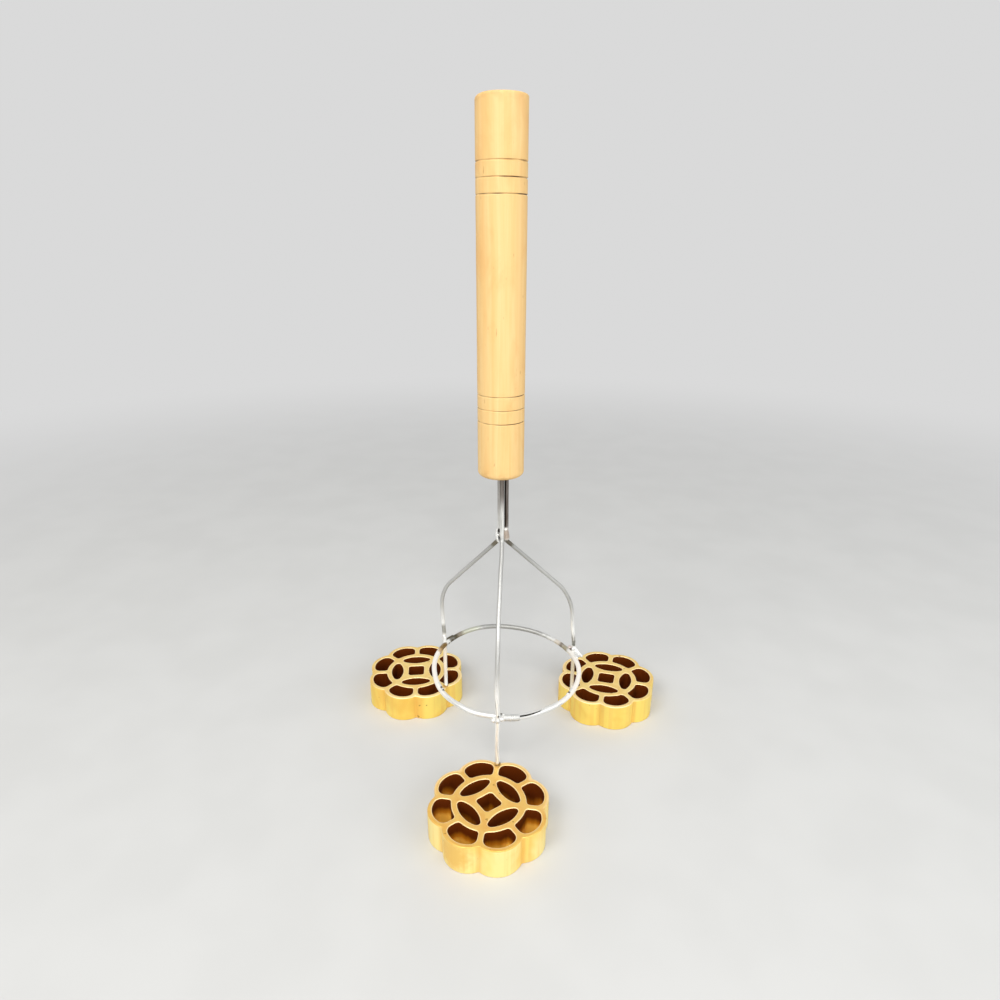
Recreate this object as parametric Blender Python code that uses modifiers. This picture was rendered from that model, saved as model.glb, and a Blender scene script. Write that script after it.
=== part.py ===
"""A rosette iron: three pierced brass moulds brazed to a wire frame under a turned wooden handle."""

from math import atan2, cos, hypot, pi, radians, sin, sqrt, tan

import bmesh
import bpy
from mathutils import Euler, Matrix, Vector

MM = 0.001

# General: the slit left between pieces that touch, and how close points are joined
GAP = 0.3 * MM
MERGE = 0.001 * MM

# Mould: a casting with eight petals round a ring, four almond cells and a four-pointed star
PETALS = 8
MOULD_RADIUS = 32.3 * MM
MOULD_HEIGHT = 17.0 * MM
NOTCH_RADIUS = 28.8 * MM
NOTCH_FILLET = 0.8 * MM
PETAL_WALL = 2.8 * MM
WEB = 3.0 * MM
RING_OUTER = 19.8 * MM
RING_INNER = 17.0 * MM
CELL_OUTER_FILLET = 3.6 * MM
CELL_INNER_FILLET = 1.8 * MM
ALMONDS = 4
ALMOND_NEAR = 9.2 * MM
ALMOND_TIP = 2.0 * MM
STAR_HOLE = 9.4 * MM
STAR_HOLE_FILLET = 1.4 * MM

# Legs: three bent wires, side by side in the handle and spread below it
LEG_RADIUS = 1.2 * MM
LEG_REACH = 47.4 * MM
LEG_SPLAY = radians(45)
CROTCH_BEND = 4.0 * MM
SHOULDER_BEND = 32.0 * MM
LEG_SEAT_INSET = 0.6 * MM
CROTCH_HEIGHT = 118.6 * MM
# A leg's name, its direction, its share of the reach and the direction in which its mould lies
LEG_REACH_SHARES = (
    ("front", radians(-90.0), 0.994, radians(-97.2)),
    ("right", radians(26.6), 1.083, radians(31.1)),
    ("left", radians(146.5), 0.926, radians(141.9)),
)

# Hoop: one round of thicker wire inside the legs, bent by hand and tilted as it was welded
HOOP_WIRE_RADIUS = 1.45 * MM
HOOP_HEIGHT = 31.5 * MM
HOOP_PITCH = radians(2.5)
HOOP_ROLL = radians(3.9)
# Where it strays from its circle: the middle, the half width and the height of each swell
HOOP_SWELLS = (
    (radians(-38.0), radians(57.0), -3.6 * MM),
    (radians(113.0), radians(36.0), 0.7 * MM),
    (radians(248.0), radians(16.6), 1.15 * MM),
)
# Its ends are cut to wedges and laid one over the other. Each row is the distance past the front
# leg, the radius there and the place across the joint, positive inwards and up.
UPPER_END = (
    (2.0 * MM, HOOP_WIRE_RADIUS, 0.0),
    (12.0 * MM, 0.35 * MM, 1.1 * MM),
    (25.5 * MM, 0.3 * MM, 1.12 * MM),
)
LOWER_END = (
    (7.0 * MM, 0.4 * MM, -1.05 * MM),
    (13.0 * MM, 0.9 * MM, -0.55 * MM),
    (26.0 * MM, 1.0 * MM, -0.5 * MM),
    (31.0 * MM, HOOP_WIRE_RADIUS, 0.0),
)
JOINT_LEAN = radians(52.3)

# Welds and brazing
HOOP_WELD_HALF_WIDTH = 2.7 * MM
HOOP_WELD_HALF_HEIGHT = 3.5 * MM
HOOP_WELD_SHIFT = 0.7 * MM
SEAM_WELD_LENGTH = 9.6 * MM
SEAM_WELD_HALF_WIDTH = 2.0 * MM
SEAM_WELD_HALF_HEIGHT = 2.1 * MM
SEAM_WELD_SHIFT = 0.55 * MM
SPOT_WELD_LENGTH = 5.6 * MM
SPOT_WELD_HALF_WIDTH = 1.0 * MM
SPOT_WELD_SHIFT = 1.75 * MM
SPOT_WELDS = (("left", radians(214.0)), ("right", radians(330.0)))
TANG_WELD_HEIGHT = 9.2 * MM
TANG_WELD_WALL = 0.95 * MM
TANG_WELD_FLARE = 0.55 * MM
BRAZE_HEIGHT = 1.9 * MM
BRAZE_FOOT = 0.7 * MM
BRAZE_LIP = 0.2 * MM

# Handle: a turned bar with three burnt grooves near each end and a blind bore for the wires
HANDLE_LENGTH = 180.5 * MM
HANDLE_RADIUS = 12.5 * MM
HANDLE_END_ROUND = 2.2 * MM
TANG_LENGTH = 37.9 * MM
TANG_SEAT = 62.0 * MM
GROOVES = 3
GROOVE_PITCH = 7.1 * MM
GROOVE_WIDTH = 1.1 * MM
GROOVE_DEPTH = 0.55 * MM
TOP_GROOVE_INSET = 27.6 * MM
BOTTOM_GROOVE_INSET = 29.5 * MM

# Fineness of the round forms
HANDLE_STEPS = 48
SMALL_STEPS = 20
WIRE_STEPS = 3
BEND_STEPS = 9
HOOP_STEPS = 64
JOINT_STEPS = 8
PETAL_STEPS = 12
CELL_STEPS = 6
FILLET_STEPS = 4

# Heights above the surface that the moulds stand on
RIM_Z = MOULD_HEIGHT
CROTCH_Z = RIM_Z + CROTCH_HEIGHT
HOOP_Z = RIM_Z + HOOP_HEIGHT
HANDLE_Z = CROTCH_Z + TANG_LENGTH

# The three wires of the tang lie in a triangle, each this far from the handle's axis
BUNDLE_OFFSET = (2 * LEG_RADIUS + GAP) / sqrt(3)
BUNDLE_RADIUS = BUNDLE_OFFSET + LEG_RADIUS
HALF_PETAL = pi / PETALS

COLOURS = {
    "Wood": ((0.86, 0.62, 0.30, 1.0), 0.62, 0.0),
    "Steel wire": ((0.62, 0.61, 0.57, 1.0), 0.34, 1.0),
    "Weld": ((0.50, 0.48, 0.44, 1.0), 0.48, 1.0),
    "Brass": ((0.83, 0.60, 0.24, 1.0), 0.40, 1.0),
    "Brazing": ((0.36, 0.24, 0.10, 1.0), 0.60, 1.0),
}


def material(name):
    """The named finish, made once."""
    found = bpy.data.materials.get(name)
    if found:
        return found
    colour, roughness, metallic = COLOURS[name]
    made = bpy.data.materials.new(name)
    made.use_nodes = True
    shader = made.node_tree.nodes["Principled BSDF"]
    shader.inputs["Base Color"].default_value = colour
    shader.inputs["Roughness"].default_value = roughness
    shader.inputs["Metallic"].default_value = metallic
    made.diffuse_color = colour
    return made


def place(name, data, group, finish=None, root=None):
    """Adds an object with the given data to a collection."""
    obj = bpy.data.objects.new(name, data)
    group.objects.link(obj)
    if finish:
        data.materials.append(material(finish))
    if root:
        obj.parent = root
    return obj


# Plane geometry of outlines, in two dimensions


def arc(centre, radius, start, end, steps):
    """Points along an arc, both ends included."""
    x, y = centre
    angles = [start + (end - start) * i / steps for i in range(steps + 1)]
    return [(x + radius * cos(a), y + radius * sin(a)) for a in angles]


def turned_by(points, angle):
    """Points turned about the origin."""
    return [(x * cos(angle) - y * sin(angle), x * sin(angle) + y * cos(angle)) for x, y in points]


def mirrored(points):
    """Points mirrored in the middle line of the first petal, and so taken in reverse."""
    c, s = cos(2 * HALF_PETAL), sin(2 * HALF_PETAL)
    return [(x * c + y * s, x * s - y * c) for x, y in reversed(points)]


def petal_circle():
    """Centre and radius of the first petal's round outside, which passes through the notches beside it."""
    along, across = NOTCH_RADIUS * cos(HALF_PETAL), NOTCH_RADIUS * sin(HALF_PETAL)
    reach = (MOULD_RADIUS**2 - along**2 - across**2) / (2 * (MOULD_RADIUS - along))
    return (reach * cos(HALF_PETAL), reach * sin(HALF_PETAL)), MOULD_RADIUS - reach


def mould_outline():
    """The scalloped outside: a petal's arc, then a small round notch, eight times."""
    (px, py), radius = petal_circle()
    notch = px + sqrt((radius + NOTCH_FILLET) ** 2 - py**2)
    lean = atan2(py, px - notch)
    meet = atan2(-py, notch - px)
    section = arc((notch, 0), NOTCH_FILLET, 2 * pi - lean, lean, FILLET_STEPS)
    section += arc((px, py), radius, meet, 2 * HALF_PETAL - meet, PETAL_STEPS)[1:-1]
    return [p for k in range(PETALS) for p in turned_by(section, 2 * HALF_PETAL * k)]


def petal_cell():
    """The first petal's cell, between two webs, the ring and the petal's wall, with round corners."""
    (px, py), radius = petal_circle()
    inside = radius - PETAL_WALL
    inner_y = WEB / 2 + CELL_INNER_FILLET
    inner_x = sqrt((RING_OUTER + CELL_INNER_FILLET) ** 2 - inner_y**2)
    outer_y = WEB / 2 + CELL_OUTER_FILLET
    outer_x = px + sqrt((inside - CELL_OUTER_FILLET) ** 2 - (outer_y - py) ** 2)
    inner_turn = atan2(inner_y, inner_x)
    outer_turn = atan2(outer_y - py, outer_x - px)
    side = arc((inner_x, inner_y), CELL_INNER_FILLET, inner_turn - pi, -pi / 2, FILLET_STEPS)
    side += arc((outer_x, outer_y), CELL_OUTER_FILLET, -pi / 2, outer_turn, FILLET_STEPS)
    far = arc((px, py), inside, outer_turn, 2 * HALF_PETAL - outer_turn, CELL_STEPS)[1:-1]
    near = arc((0, 0), RING_OUTER, 2 * HALF_PETAL - inner_turn, inner_turn, CELL_STEPS)[1:-1]
    return side + far + mirrored(side) + near


def almond_cell():
    """An almond between the ring and the star: two arcs of the ring's inner radius, with round tips."""
    centre = ALMOND_NEAR + RING_INNER
    x, y = centre / 2, sqrt((RING_INNER - ALMOND_TIP) ** 2 - (centre / 2) ** 2)
    turn = atan2(y, x)
    outline = arc((0, 0), RING_INNER, -turn, turn, CELL_STEPS)
    outline += arc((x, y), ALMOND_TIP, turn, pi - turn, FILLET_STEPS)[1:-1]
    outline += arc((centre, 0), RING_INNER, pi - turn, pi + turn, CELL_STEPS)
    outline += arc((x, -y), ALMOND_TIP, pi + turn, 2 * pi - turn, FILLET_STEPS)[1:-1]
    return outline


def star_hole():
    """The square hole in the star, with round corners that point along the star's arms."""
    corner = STAR_HOLE / 2 - STAR_HOLE_FILLET
    quarter = arc((corner, corner), STAR_HOLE_FILLET, 0, pi / 2, FILLET_STEPS)
    return [p for k in range(4) for p in turned_by(quarter, pi / 4 + k * pi / 2)]


def mould_outlines():
    """The outside and the thirteen cells, with the notch that takes the leg on +X."""
    outlines = [mould_outline(), star_hole()]
    outlines += [turned_by(petal_cell(), 2 * HALF_PETAL * k) for k in range(PETALS)]
    outlines += [turned_by(almond_cell(), 2 * pi / ALMONDS * (k + 0.5)) for k in range(ALMONDS)]
    return outlines


# Where the legs, the hoop and the moulds stand in plan


def leg_place(direction, share):
    """The foot of a leg in plan."""
    return Vector((LEG_REACH * share * cos(direction), LEG_REACH * share * sin(direction), 0))


def mould_place(direction, share, heading):
    """The centre of a leg's mould in plan."""
    reach = NOTCH_RADIUS - LEG_SEAT_INSET
    return leg_place(direction, share) + Vector((reach * cos(heading), reach * sin(heading), 0))


def plan_centre():
    """The middle of the box round the three moulds in plan."""
    points = []
    for _, direction, share, heading in LEG_REACH_SHARES:
        middle = mould_place(direction, share, heading)
        points += [(middle.x + x, middle.y + y) for x, y in turned_by(mould_outline(), heading + pi)]
    across = [x for x, _ in points]
    along = [y for _, y in points]
    return Vector(((min(across) + max(across)) / 2, (min(along) + max(along)) / 2, 0))


def hoop_circle():
    """Centre and radius of the hoop in plan: the circle through the three legs, moved in beside them."""
    a, b, c = [leg_place(direction, share) for _, direction, share, _ in LEG_REACH_SHARES]
    twice = 2 * (a.x * (b.y - c.y) + b.x * (c.y - a.y) + c.x * (a.y - b.y))
    aa, bb, cc = a.dot(a), b.dot(b), c.dot(c)
    x = (aa * (b.y - c.y) + bb * (c.y - a.y) + cc * (a.y - b.y)) / twice
    y = (aa * (c.x - b.x) + bb * (a.x - c.x) + cc * (b.x - a.x)) / twice
    radius = hypot(a.x - x, a.y - y) - LEG_RADIUS - HOOP_WIRE_RADIUS - GAP
    return Vector((x, y, 0)), radius


def hoop_frame():
    """The hoop's place, tilted a little as it was welded."""
    centre, _ = hoop_circle()
    tilt = Euler((HOOP_PITCH, HOOP_ROLL, 0)).to_matrix().to_4x4()
    return Matrix.Translation(centre + Vector((0, 0, HOOP_Z))) @ tilt


def hoop_angle(direction, share):
    """The direction of a leg seen from the hoop's centre."""
    centre, _ = hoop_circle()
    leg = leg_place(direction, share) - centre
    return atan2(leg.y, leg.x)


def hoop_local(angle, out, up):
    """A place beside the hoop's wire in the hoop's own frame: moved out from its middle, and up."""
    _, radius = hoop_circle()
    for middle, half, height in HOOP_SWELLS:
        apart = (angle - middle + pi) % (2 * pi) - pi
        if abs(apart) < half:
            radius += height * cos(apart / half * pi / 2) ** 2
    return Vector(((radius + out) * cos(angle), (radius + out) * sin(angle), up))


def read_off(rows, at):
    """The radius and the place across that a table of rows gives at a distance."""
    if at <= rows[0][0]:
        return rows[0][1:]
    for before, after in zip(rows, rows[1:]):
        if at <= after[0]:
            share = (at - before[0]) / (after[0] - before[0])
            return [a + (b - a) * share for a, b in zip(before[1:], after[1:])]
    return rows[-1][1:]


# Pieces


def wire(name, points, radius, group, finish=None, root=None, thins=None):
    """A round wire through the points, thinner where the list of radii says so."""
    curve = bpy.data.curves.new(name, "CURVE")
    curve.dimensions = "3D"
    curve.bevel_depth = radius
    curve.bevel_resolution = WIRE_STEPS
    curve.use_fill_caps = True
    spline = curve.splines.new("POLY")
    spline.points.add(len(points) - 1)
    for knot, point, thin in zip(spline.points, points, thins or [radius] * len(points)):
        knot.co = (*point, 1)
        knot.radius = thin / radius
    spline.use_smooth = True
    return place(name, curve, group, finish, root)


def solid_wire(name, points, radius, group, thins=None):
    """A wire as a closed mesh, for cutting its seat in a weld."""
    curve = wire(name + "_curve", points, radius, group, thins=thins)
    graph = bpy.context.evaluated_depsgraph_get()
    mesh = bpy.data.meshes.new_from_object(curve.evaluated_get(graph))
    work = bmesh.new()
    work.from_mesh(mesh)
    bmesh.ops.remove_doubles(work, verts=work.verts, dist=MERGE)
    work.to_mesh(mesh)
    work.free()
    solid = place(name, mesh, group)
    solid.matrix_world = curve.matrix_world
    bpy.data.objects.remove(curve)
    return solid


def turned(name, profile, steps, group, finish=None, root=None, closed=False):
    """A shape turned about Z from a profile of radii and heights."""
    edges = [(i, i + 1) for i in range(len(profile) - 1)]
    if closed:
        edges.append((len(profile) - 1, 0))
    mesh = bpy.data.meshes.new(name)
    mesh.from_pydata([(radius, 0, z) for radius, z in profile], edges, [])
    obj = place(name, mesh, group, finish, root)
    screw = obj.modifiers.new("Turn", "SCREW")
    screw.steps = steps
    screw.render_steps = steps
    screw.use_merge_vertices = True
    screw.merge_threshold = MERGE
    return obj


def blob(name, size, matrix, group, finish, root):
    """A smooth egg of metal with the given half sizes."""
    mesh = bpy.data.meshes.new(name)
    work = bmesh.new()
    bmesh.ops.create_uvsphere(work, u_segments=SMALL_STEPS, v_segments=SMALL_STEPS // 2, radius=1)
    bmesh.ops.transform(work, matrix=Matrix.Diagonal((*size, 1)), verts=work.verts)
    work.to_mesh(mesh)
    work.free()
    mesh.shade_smooth()
    obj = place(name, mesh, group, finish, root)
    obj.matrix_basis = matrix
    return obj


def cut(obj, cutters):
    """Cuts each cutter's shape from an object."""
    for cutter in cutters:
        cutter.hide_render = True
        cutter.display_type = "WIRE"
        boolean = obj.modifiers.new("Cut", "BOOLEAN")
        boolean.operation = "DIFFERENCE"
        boolean.solver = "EXACT"
        boolean.use_self = True
        boolean.object = cutter


def handle_profile():
    """Half of the handle's section, from its top down the outside and back up the bore."""
    top, bottom = HANDLE_Z + HANDLE_LENGTH, HANDLE_Z
    round_end = HANDLE_RADIUS - HANDLE_END_ROUND
    profile = [(0, top)]
    profile += arc((round_end, top - HANDLE_END_ROUND), HANDLE_END_ROUND, pi / 2, 0, FILLET_STEPS)
    rows = [top - TOP_GROOVE_INSET - GROOVE_PITCH * i for i in range(GROOVES)]
    rows += [bottom + BOTTOM_GROOVE_INSET + GROOVE_PITCH * i for i in reversed(range(GROOVES))]
    for row in rows:
        profile += [
            (HANDLE_RADIUS, row + GROOVE_WIDTH / 2),
            (HANDLE_RADIUS - GROOVE_DEPTH, row),
            (HANDLE_RADIUS, row - GROOVE_WIDTH / 2),
        ]
    profile += arc((round_end, bottom + HANDLE_END_ROUND), HANDLE_END_ROUND, 0, -pi / 2, FILLET_STEPS)
    bore = BUNDLE_RADIUS + GAP
    profile += [(bore, bottom), (bore, bottom + TANG_SEAT + GAP), (0, bottom + TANG_SEAT + GAP)]
    return profile


def leg_profile(reach):
    """A leg's centre line in its own plane: distance out and height, from its top to its foot."""
    slope = tan(LEG_SPLAY)
    turn = pi / 2 - LEG_SPLAY
    crotch = CROTCH_Z - BUNDLE_OFFSET * slope
    shoulder = CROTCH_Z - reach * slope
    upper = CROTCH_BEND * tan(turn / 2)
    lower = SHOULDER_BEND * tan(turn / 2)
    line = [(BUNDLE_OFFSET, HANDLE_Z + TANG_SEAT)]
    line += arc((BUNDLE_OFFSET + CROTCH_BEND, crotch + upper), CROTCH_BEND, pi, pi + turn, BEND_STEPS)
    line += arc((reach - SHOULDER_BEND, shoulder - lower), SHOULDER_BEND, turn, 0, BEND_STEPS)
    line += [(reach, HOOP_Z), (reach, RIM_Z + GAP)]
    return line


def leg_points(direction, share):
    """A leg's centre line in space."""
    points = leg_profile(LEG_REACH * share)
    return [Vector((out * cos(direction), out * sin(direction), z)) for out, z in points]


def hoop_points():
    """The hoop's centre line and its radii: from its lower end once round to its upper end."""
    _, radius = hoop_circle()
    _, direction, share, _ = LEG_REACH_SHARES[0]
    start = hoop_angle(direction, share)
    around = 2 * pi * radius
    low, full, high, last = LOWER_END[0][0], LOWER_END[-1][0], UPPER_END[0][0], UPPER_END[-1][0]
    run = [(low + (full - low) * i / JOINT_STEPS, LOWER_END) for i in range(JOINT_STEPS)]
    run += [(full + (around + high - full) * i / HOOP_STEPS, LOWER_END) for i in range(HOOP_STEPS)]
    run += [(high + (last - high) * i / JOINT_STEPS, UPPER_END) for i in range(JOINT_STEPS + 1)]
    points, radii = [], []
    for at, rows in run:
        thin, across = read_off(rows, at)
        local = hoop_local(start + at / radius, -across * cos(JOINT_LEAN), across * sin(JOINT_LEAN))
        points.append(hoop_frame() @ local)
        radii.append(thin)
    return points, radii


def make_handle(group, root):
    """The wooden handle, bored for the tang."""
    turned("handle", handle_profile(), HANDLE_STEPS, group, "Wood", root)


def make_mould(name, direction, share, heading, group, root):
    """One pierced mould, its leg's notch towards the leg."""
    curve = bpy.data.curves.new("mould_" + name, "CURVE")
    curve.dimensions = "2D"
    curve.fill_mode = "BOTH"
    curve.extrude = MOULD_HEIGHT / 2
    for outline in mould_outlines():
        spline = curve.splines.new("POLY")
        spline.points.add(len(outline) - 1)
        for knot, point in zip(spline.points, outline):
            knot.co = (*point, 0, 1)
        spline.use_cyclic_u = True
    obj = place("mould_" + name, curve, group, "Brass", root)
    obj.location = mould_place(direction, share, heading) + Vector((0, 0, MOULD_HEIGHT / 2))
    obj.rotation_euler = (0, 0, heading + pi)


def make_braze(name, direction, share, group, root):
    """The brazing round a leg's foot, on the mould's rim."""
    bore = LEG_RADIUS + GAP
    foot, lip = bore + BRAZE_FOOT, bore + BRAZE_LIP
    turns = [pi / 2 * i / FILLET_STEPS for i in range(FILLET_STEPS + 1)]
    profile = [(bore, BRAZE_HEIGHT)]
    profile += [(foot - (foot - lip) * cos(a), BRAZE_HEIGHT * (1 - sin(a))) for a in turns]
    profile += [(bore, 0)]
    obj = turned("braze_" + name, profile, SMALL_STEPS, group, "Brazing", root, closed=True)
    obj.location = leg_place(direction, share) + Vector((0, 0, RIM_Z + GAP))


def make_hoop_weld(name, direction, share, cutters, group, root):
    """The weld between a leg and the hoop: an egg round the leg that grips the hoop's outside."""
    _, radius = hoop_circle()
    angle = hoop_angle(direction, share)
    hoop = hoop_frame() @ Vector((radius * cos(angle), radius * sin(angle), 0))
    leg = leg_place(direction, share)
    middle = Vector((leg.x, leg.y, hoop.z)) - Vector((cos(angle), sin(angle), 0)) * HOOP_WELD_SHIFT
    size = (HOOP_WELD_HALF_WIDTH, HOOP_WELD_HALF_WIDTH, HOOP_WELD_HALF_HEIGHT)
    matrix = Matrix.Translation(middle) @ Matrix.Rotation(angle, 4, "Z")
    weld = blob("hoop_weld_" + name, size, matrix, group, "Weld", root)
    cut(weld, cutters)


def make_seam_weld(cutters, group, root):
    """The bead along the joint of the hoop's ends, beside the front leg's weld."""
    _, radius = hoop_circle()
    _, direction, share, _ = LEG_REACH_SHARES[0]
    away = HOOP_WELD_HALF_WIDTH + GAP + SEAM_WELD_LENGTH / 2
    angle = hoop_angle(direction, share) + away / radius
    size = (SEAM_WELD_HALF_WIDTH, SEAM_WELD_LENGTH / 2, SEAM_WELD_HALF_HEIGHT)
    middle = hoop_local(angle, SEAM_WELD_SHIFT, 0)
    matrix = hoop_frame() @ Matrix.Translation(middle) @ Matrix.Rotation(angle, 4, "Z")
    weld = blob("hoop_seam_weld", size, matrix, group, "Weld", root)
    cut(weld, cutters)


def make_spot_weld(name, angle, cutters, group, root):
    """A short bead on the inner upper side of the hoop."""
    size = (SPOT_WELD_HALF_WIDTH, SPOT_WELD_LENGTH / 2, SPOT_WELD_HALF_WIDTH)
    middle = hoop_local(angle, -SPOT_WELD_SHIFT * cos(JOINT_LEAN), SPOT_WELD_SHIFT * sin(JOINT_LEAN))
    matrix = hoop_frame() @ Matrix.Translation(middle) @ Matrix.Rotation(angle, 4, "Z")
    weld = blob("spot_weld_" + name, size, matrix, group, "Weld", root)
    cut(weld, cutters)


def make_tang_weld(cutters, guides, group, root):
    """The weld that joins the three legs where they part, wider at its foot."""
    low, high = CROTCH_Z - TANG_WELD_HEIGHT / 2, CROTCH_Z + TANG_WELD_HEIGHT / 2
    neck = BUNDLE_RADIUS + TANG_WELD_WALL
    foot = neck + TANG_WELD_FLARE
    profile = [
        (0, high),
        (BUNDLE_OFFSET, high),
        (neck, high - TANG_WELD_WALL),
        (neck, (high + low) / 2),
        (foot, low + TANG_WELD_WALL * 2),
        (foot - TANG_WELD_FLARE, low),
        (0, low),
    ]
    weld = turned("tang_weld", profile, SMALL_STEPS, group, "Weld", root)
    core = [Vector((0, 0, low - GAP)), Vector((0, 0, high + GAP))]
    cut(weld, cutters + [solid_wire("core_seat", core, BUNDLE_OFFSET - GAP, guides)])


def main():
    """Clears the scene and models the iron."""
    for obj in list(bpy.data.objects):
        bpy.data.objects.remove(obj)
    group = bpy.data.collections.new("Rosette iron")
    guides = bpy.data.collections.new("Cutters")
    bpy.context.scene.collection.children.link(group)
    bpy.context.scene.collection.children.link(guides)
    root = place("rosette_iron", None, group)
    root.location = -plan_centre()

    seats = {}
    for name, direction, share, heading in LEG_REACH_SHARES:
        points = leg_points(direction, share)
        wire("leg_" + name, points, LEG_RADIUS, group, "Steel wire", root)
        seats[name] = solid_wire("leg_seat_" + name, points, LEG_RADIUS + GAP, guides)
        make_mould(name, direction, share, heading, group, root)
        make_braze(name, direction, share, group, root)
    points, radii = hoop_points()
    wire("hoop", points, HOOP_WIRE_RADIUS, group, "Steel wire", root, radii)
    wider = [thin + GAP for thin in radii]
    hoop_seat = solid_wire("hoop_seat", points, HOOP_WIRE_RADIUS + GAP, guides, wider)
    for name, direction, share, _ in LEG_REACH_SHARES:
        make_hoop_weld(name, direction, share, [seats[name], hoop_seat], group, root)
    make_seam_weld([hoop_seat], group, root)
    for name, angle in SPOT_WELDS:
        make_spot_weld(name, angle, [hoop_seat], group, root)
    make_tang_weld(list(seats.values()), guides, group, root)
    make_handle(group, root)
    for seat in guides.objects:
        seat.parent = root


main()
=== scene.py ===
"""The rosette iron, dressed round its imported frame."""

from math import atan2, cos, hypot, pi, radians, sin, sqrt, tan

import bmesh
import bpy
from mathutils import Euler, Matrix, Vector, noise


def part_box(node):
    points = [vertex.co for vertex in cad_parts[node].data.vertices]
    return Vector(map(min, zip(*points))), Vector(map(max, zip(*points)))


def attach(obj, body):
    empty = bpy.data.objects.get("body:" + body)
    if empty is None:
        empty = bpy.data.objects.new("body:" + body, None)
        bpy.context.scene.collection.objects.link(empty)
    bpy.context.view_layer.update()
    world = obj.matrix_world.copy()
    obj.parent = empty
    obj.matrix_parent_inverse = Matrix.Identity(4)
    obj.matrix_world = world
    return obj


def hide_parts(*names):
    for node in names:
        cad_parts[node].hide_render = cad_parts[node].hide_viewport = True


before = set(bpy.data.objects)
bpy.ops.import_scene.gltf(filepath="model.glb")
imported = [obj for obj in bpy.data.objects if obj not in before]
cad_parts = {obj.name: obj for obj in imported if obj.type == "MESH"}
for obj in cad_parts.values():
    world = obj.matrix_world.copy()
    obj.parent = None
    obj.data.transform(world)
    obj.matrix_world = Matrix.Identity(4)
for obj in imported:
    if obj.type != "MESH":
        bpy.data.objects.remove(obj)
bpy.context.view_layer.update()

MM = 0.001
BODY = "root"

# Camera: where the photographer stood
CAMERA_AT = (0.0054, -0.3408, 0.2908)
CAMERA_TURN = (69.57, -0.11, 1.92)
CAMERA_LENS = 24.81
CAMERA_SENSOR = 36.0

# The frame's own sizes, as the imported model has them. Only the cells, which follow the photograph
# to 0.5 mm, and the hoop's two corners differ.
PETALS = 8
MOULD_RADIUS = 32.3 * MM
MOULD_HEIGHT = 17.0 * MM
NOTCH_RADIUS = 28.8 * MM
NOTCH_FILLET = 0.8 * MM
PETAL_WALL = 2.45 * MM
WEB = 3.0 * MM
RING_OUTER = 19.8 * MM
RING_INNER = 16.6 * MM
CELL_OUTER_FILLET = 3.9 * MM
CELL_INNER_FILLET = 1.9 * MM
ALMONDS = 4
ALMOND_NEAR = 8.7 * MM
ALMOND_TIP = 2.0 * MM
STAR_HOLE = 10.4 * MM
STAR_HOLE_FILLET = 1.9 * MM
LEG_RADIUS = 1.2 * MM
LEG_REACH = 47.4 * MM
CROTCH_BEND = 4.0 * MM
LEG_SEAT_INSET = 0.6 * MM
CROTCH_HEIGHT = 118.6 * MM
# Each leg's direction, its share of the reach and the direction in which its casting lies
LEGS = {
    "front": (radians(-90.0), 0.994, radians(-97.2)),
    "right": (radians(26.6), 1.083, radians(31.1)),
    "left": (radians(146.5), 0.926, radians(141.9)),
}
# Each leg's bend: how much lower its fork is, its slope, its shoulder's radius, how far that leans
LEG_BENDS = {
    "front": (0.0, radians(45.0), 32.0 * MM, 0.0),
    "right": (-0.5 * MM, radians(45.3), 40.0 * MM, -1.6 * MM),
    "left": (0.9 * MM, radians(46.1), 27.0 * MM, 1.1 * MM),
}
# How far each wire leans to the right in the bundle, and where the painted shade between its wires
# lies
BUNDLE_LEAN = {"front": 0.72 * MM, "right": 1.75 * MM, "left": 0.6 * MM}
CREVICE_SHADE_AT = (2.1 * MM, -0.3 * MM)
# How the handle's smoke lies on each wire: where it starts and is full above the fork, its strength
BUNDLE_SMOKE = {
    "front": (12 * MM, 27 * MM, 0.90),
    "right": (3 * MM, 7 * MM, 0.90),
    "left": (9 * MM, 20 * MM, 0.55),
}
HOOP_WIRE_RADIUS = 1.45 * MM
HOOP_HEIGHT = 31.5 * MM
HOOP_PITCH = radians(2.5)
HOOP_ROLL = radians(3.9)
# Where the hoop strays from its circle: the middle and the half width of each swell in degrees, and
# its height in millimetres. The last two are corners that the hand bending left.
HOOP_SWELLS = (
    (-38.0, 57.0, -3.6), (113.0, 36.0, 0.7), (248.0, 16.6, 1.15), (224.0, 33.0, 1.4),
    (325.0, 34.0, 1.25),
)
JOINT_LEAN = radians(52.3)
# Each spot weld's angle, the way in which it runs and its number of dark marks
SPOT_WELDS = (("left", radians(211.4), 1, 3), ("right", radians(333.0), -1, 2))
# The marks: how far along the spot weld each lies, and across it, in millimetres
SPOT_MARKS = ((1.95, 1.3), (3.1, 0.1), (4.3, 1.1))
HANDLE_RADIUS = 12.5 * MM
HANDLE_LENGTH = 180.5 * MM
TANG_LENGTH = 37.9 * MM
TANG_SEAT = 62.0 * MM
GROOVE_PITCH = 7.1 * MM
TOP_GROOVE_INSET = 27.6 * MM
BOTTOM_GROOVE_INSET = 29.5 * MM
GAP = 0.3 * MM

RIM_Z = MOULD_HEIGHT
CROTCH_Z = RIM_Z + CROTCH_HEIGHT
HOOP_Z = RIM_Z + HOOP_HEIGHT
HANDLE_Z = CROTCH_Z + TANG_LENGTH
HANDLE_TOP = HANDLE_Z + HANDLE_LENGTH
BUNDLE_OFFSET = (2 * LEG_RADIUS + GAP) / sqrt(3)
HALF_PETAL = pi / PETALS

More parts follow.
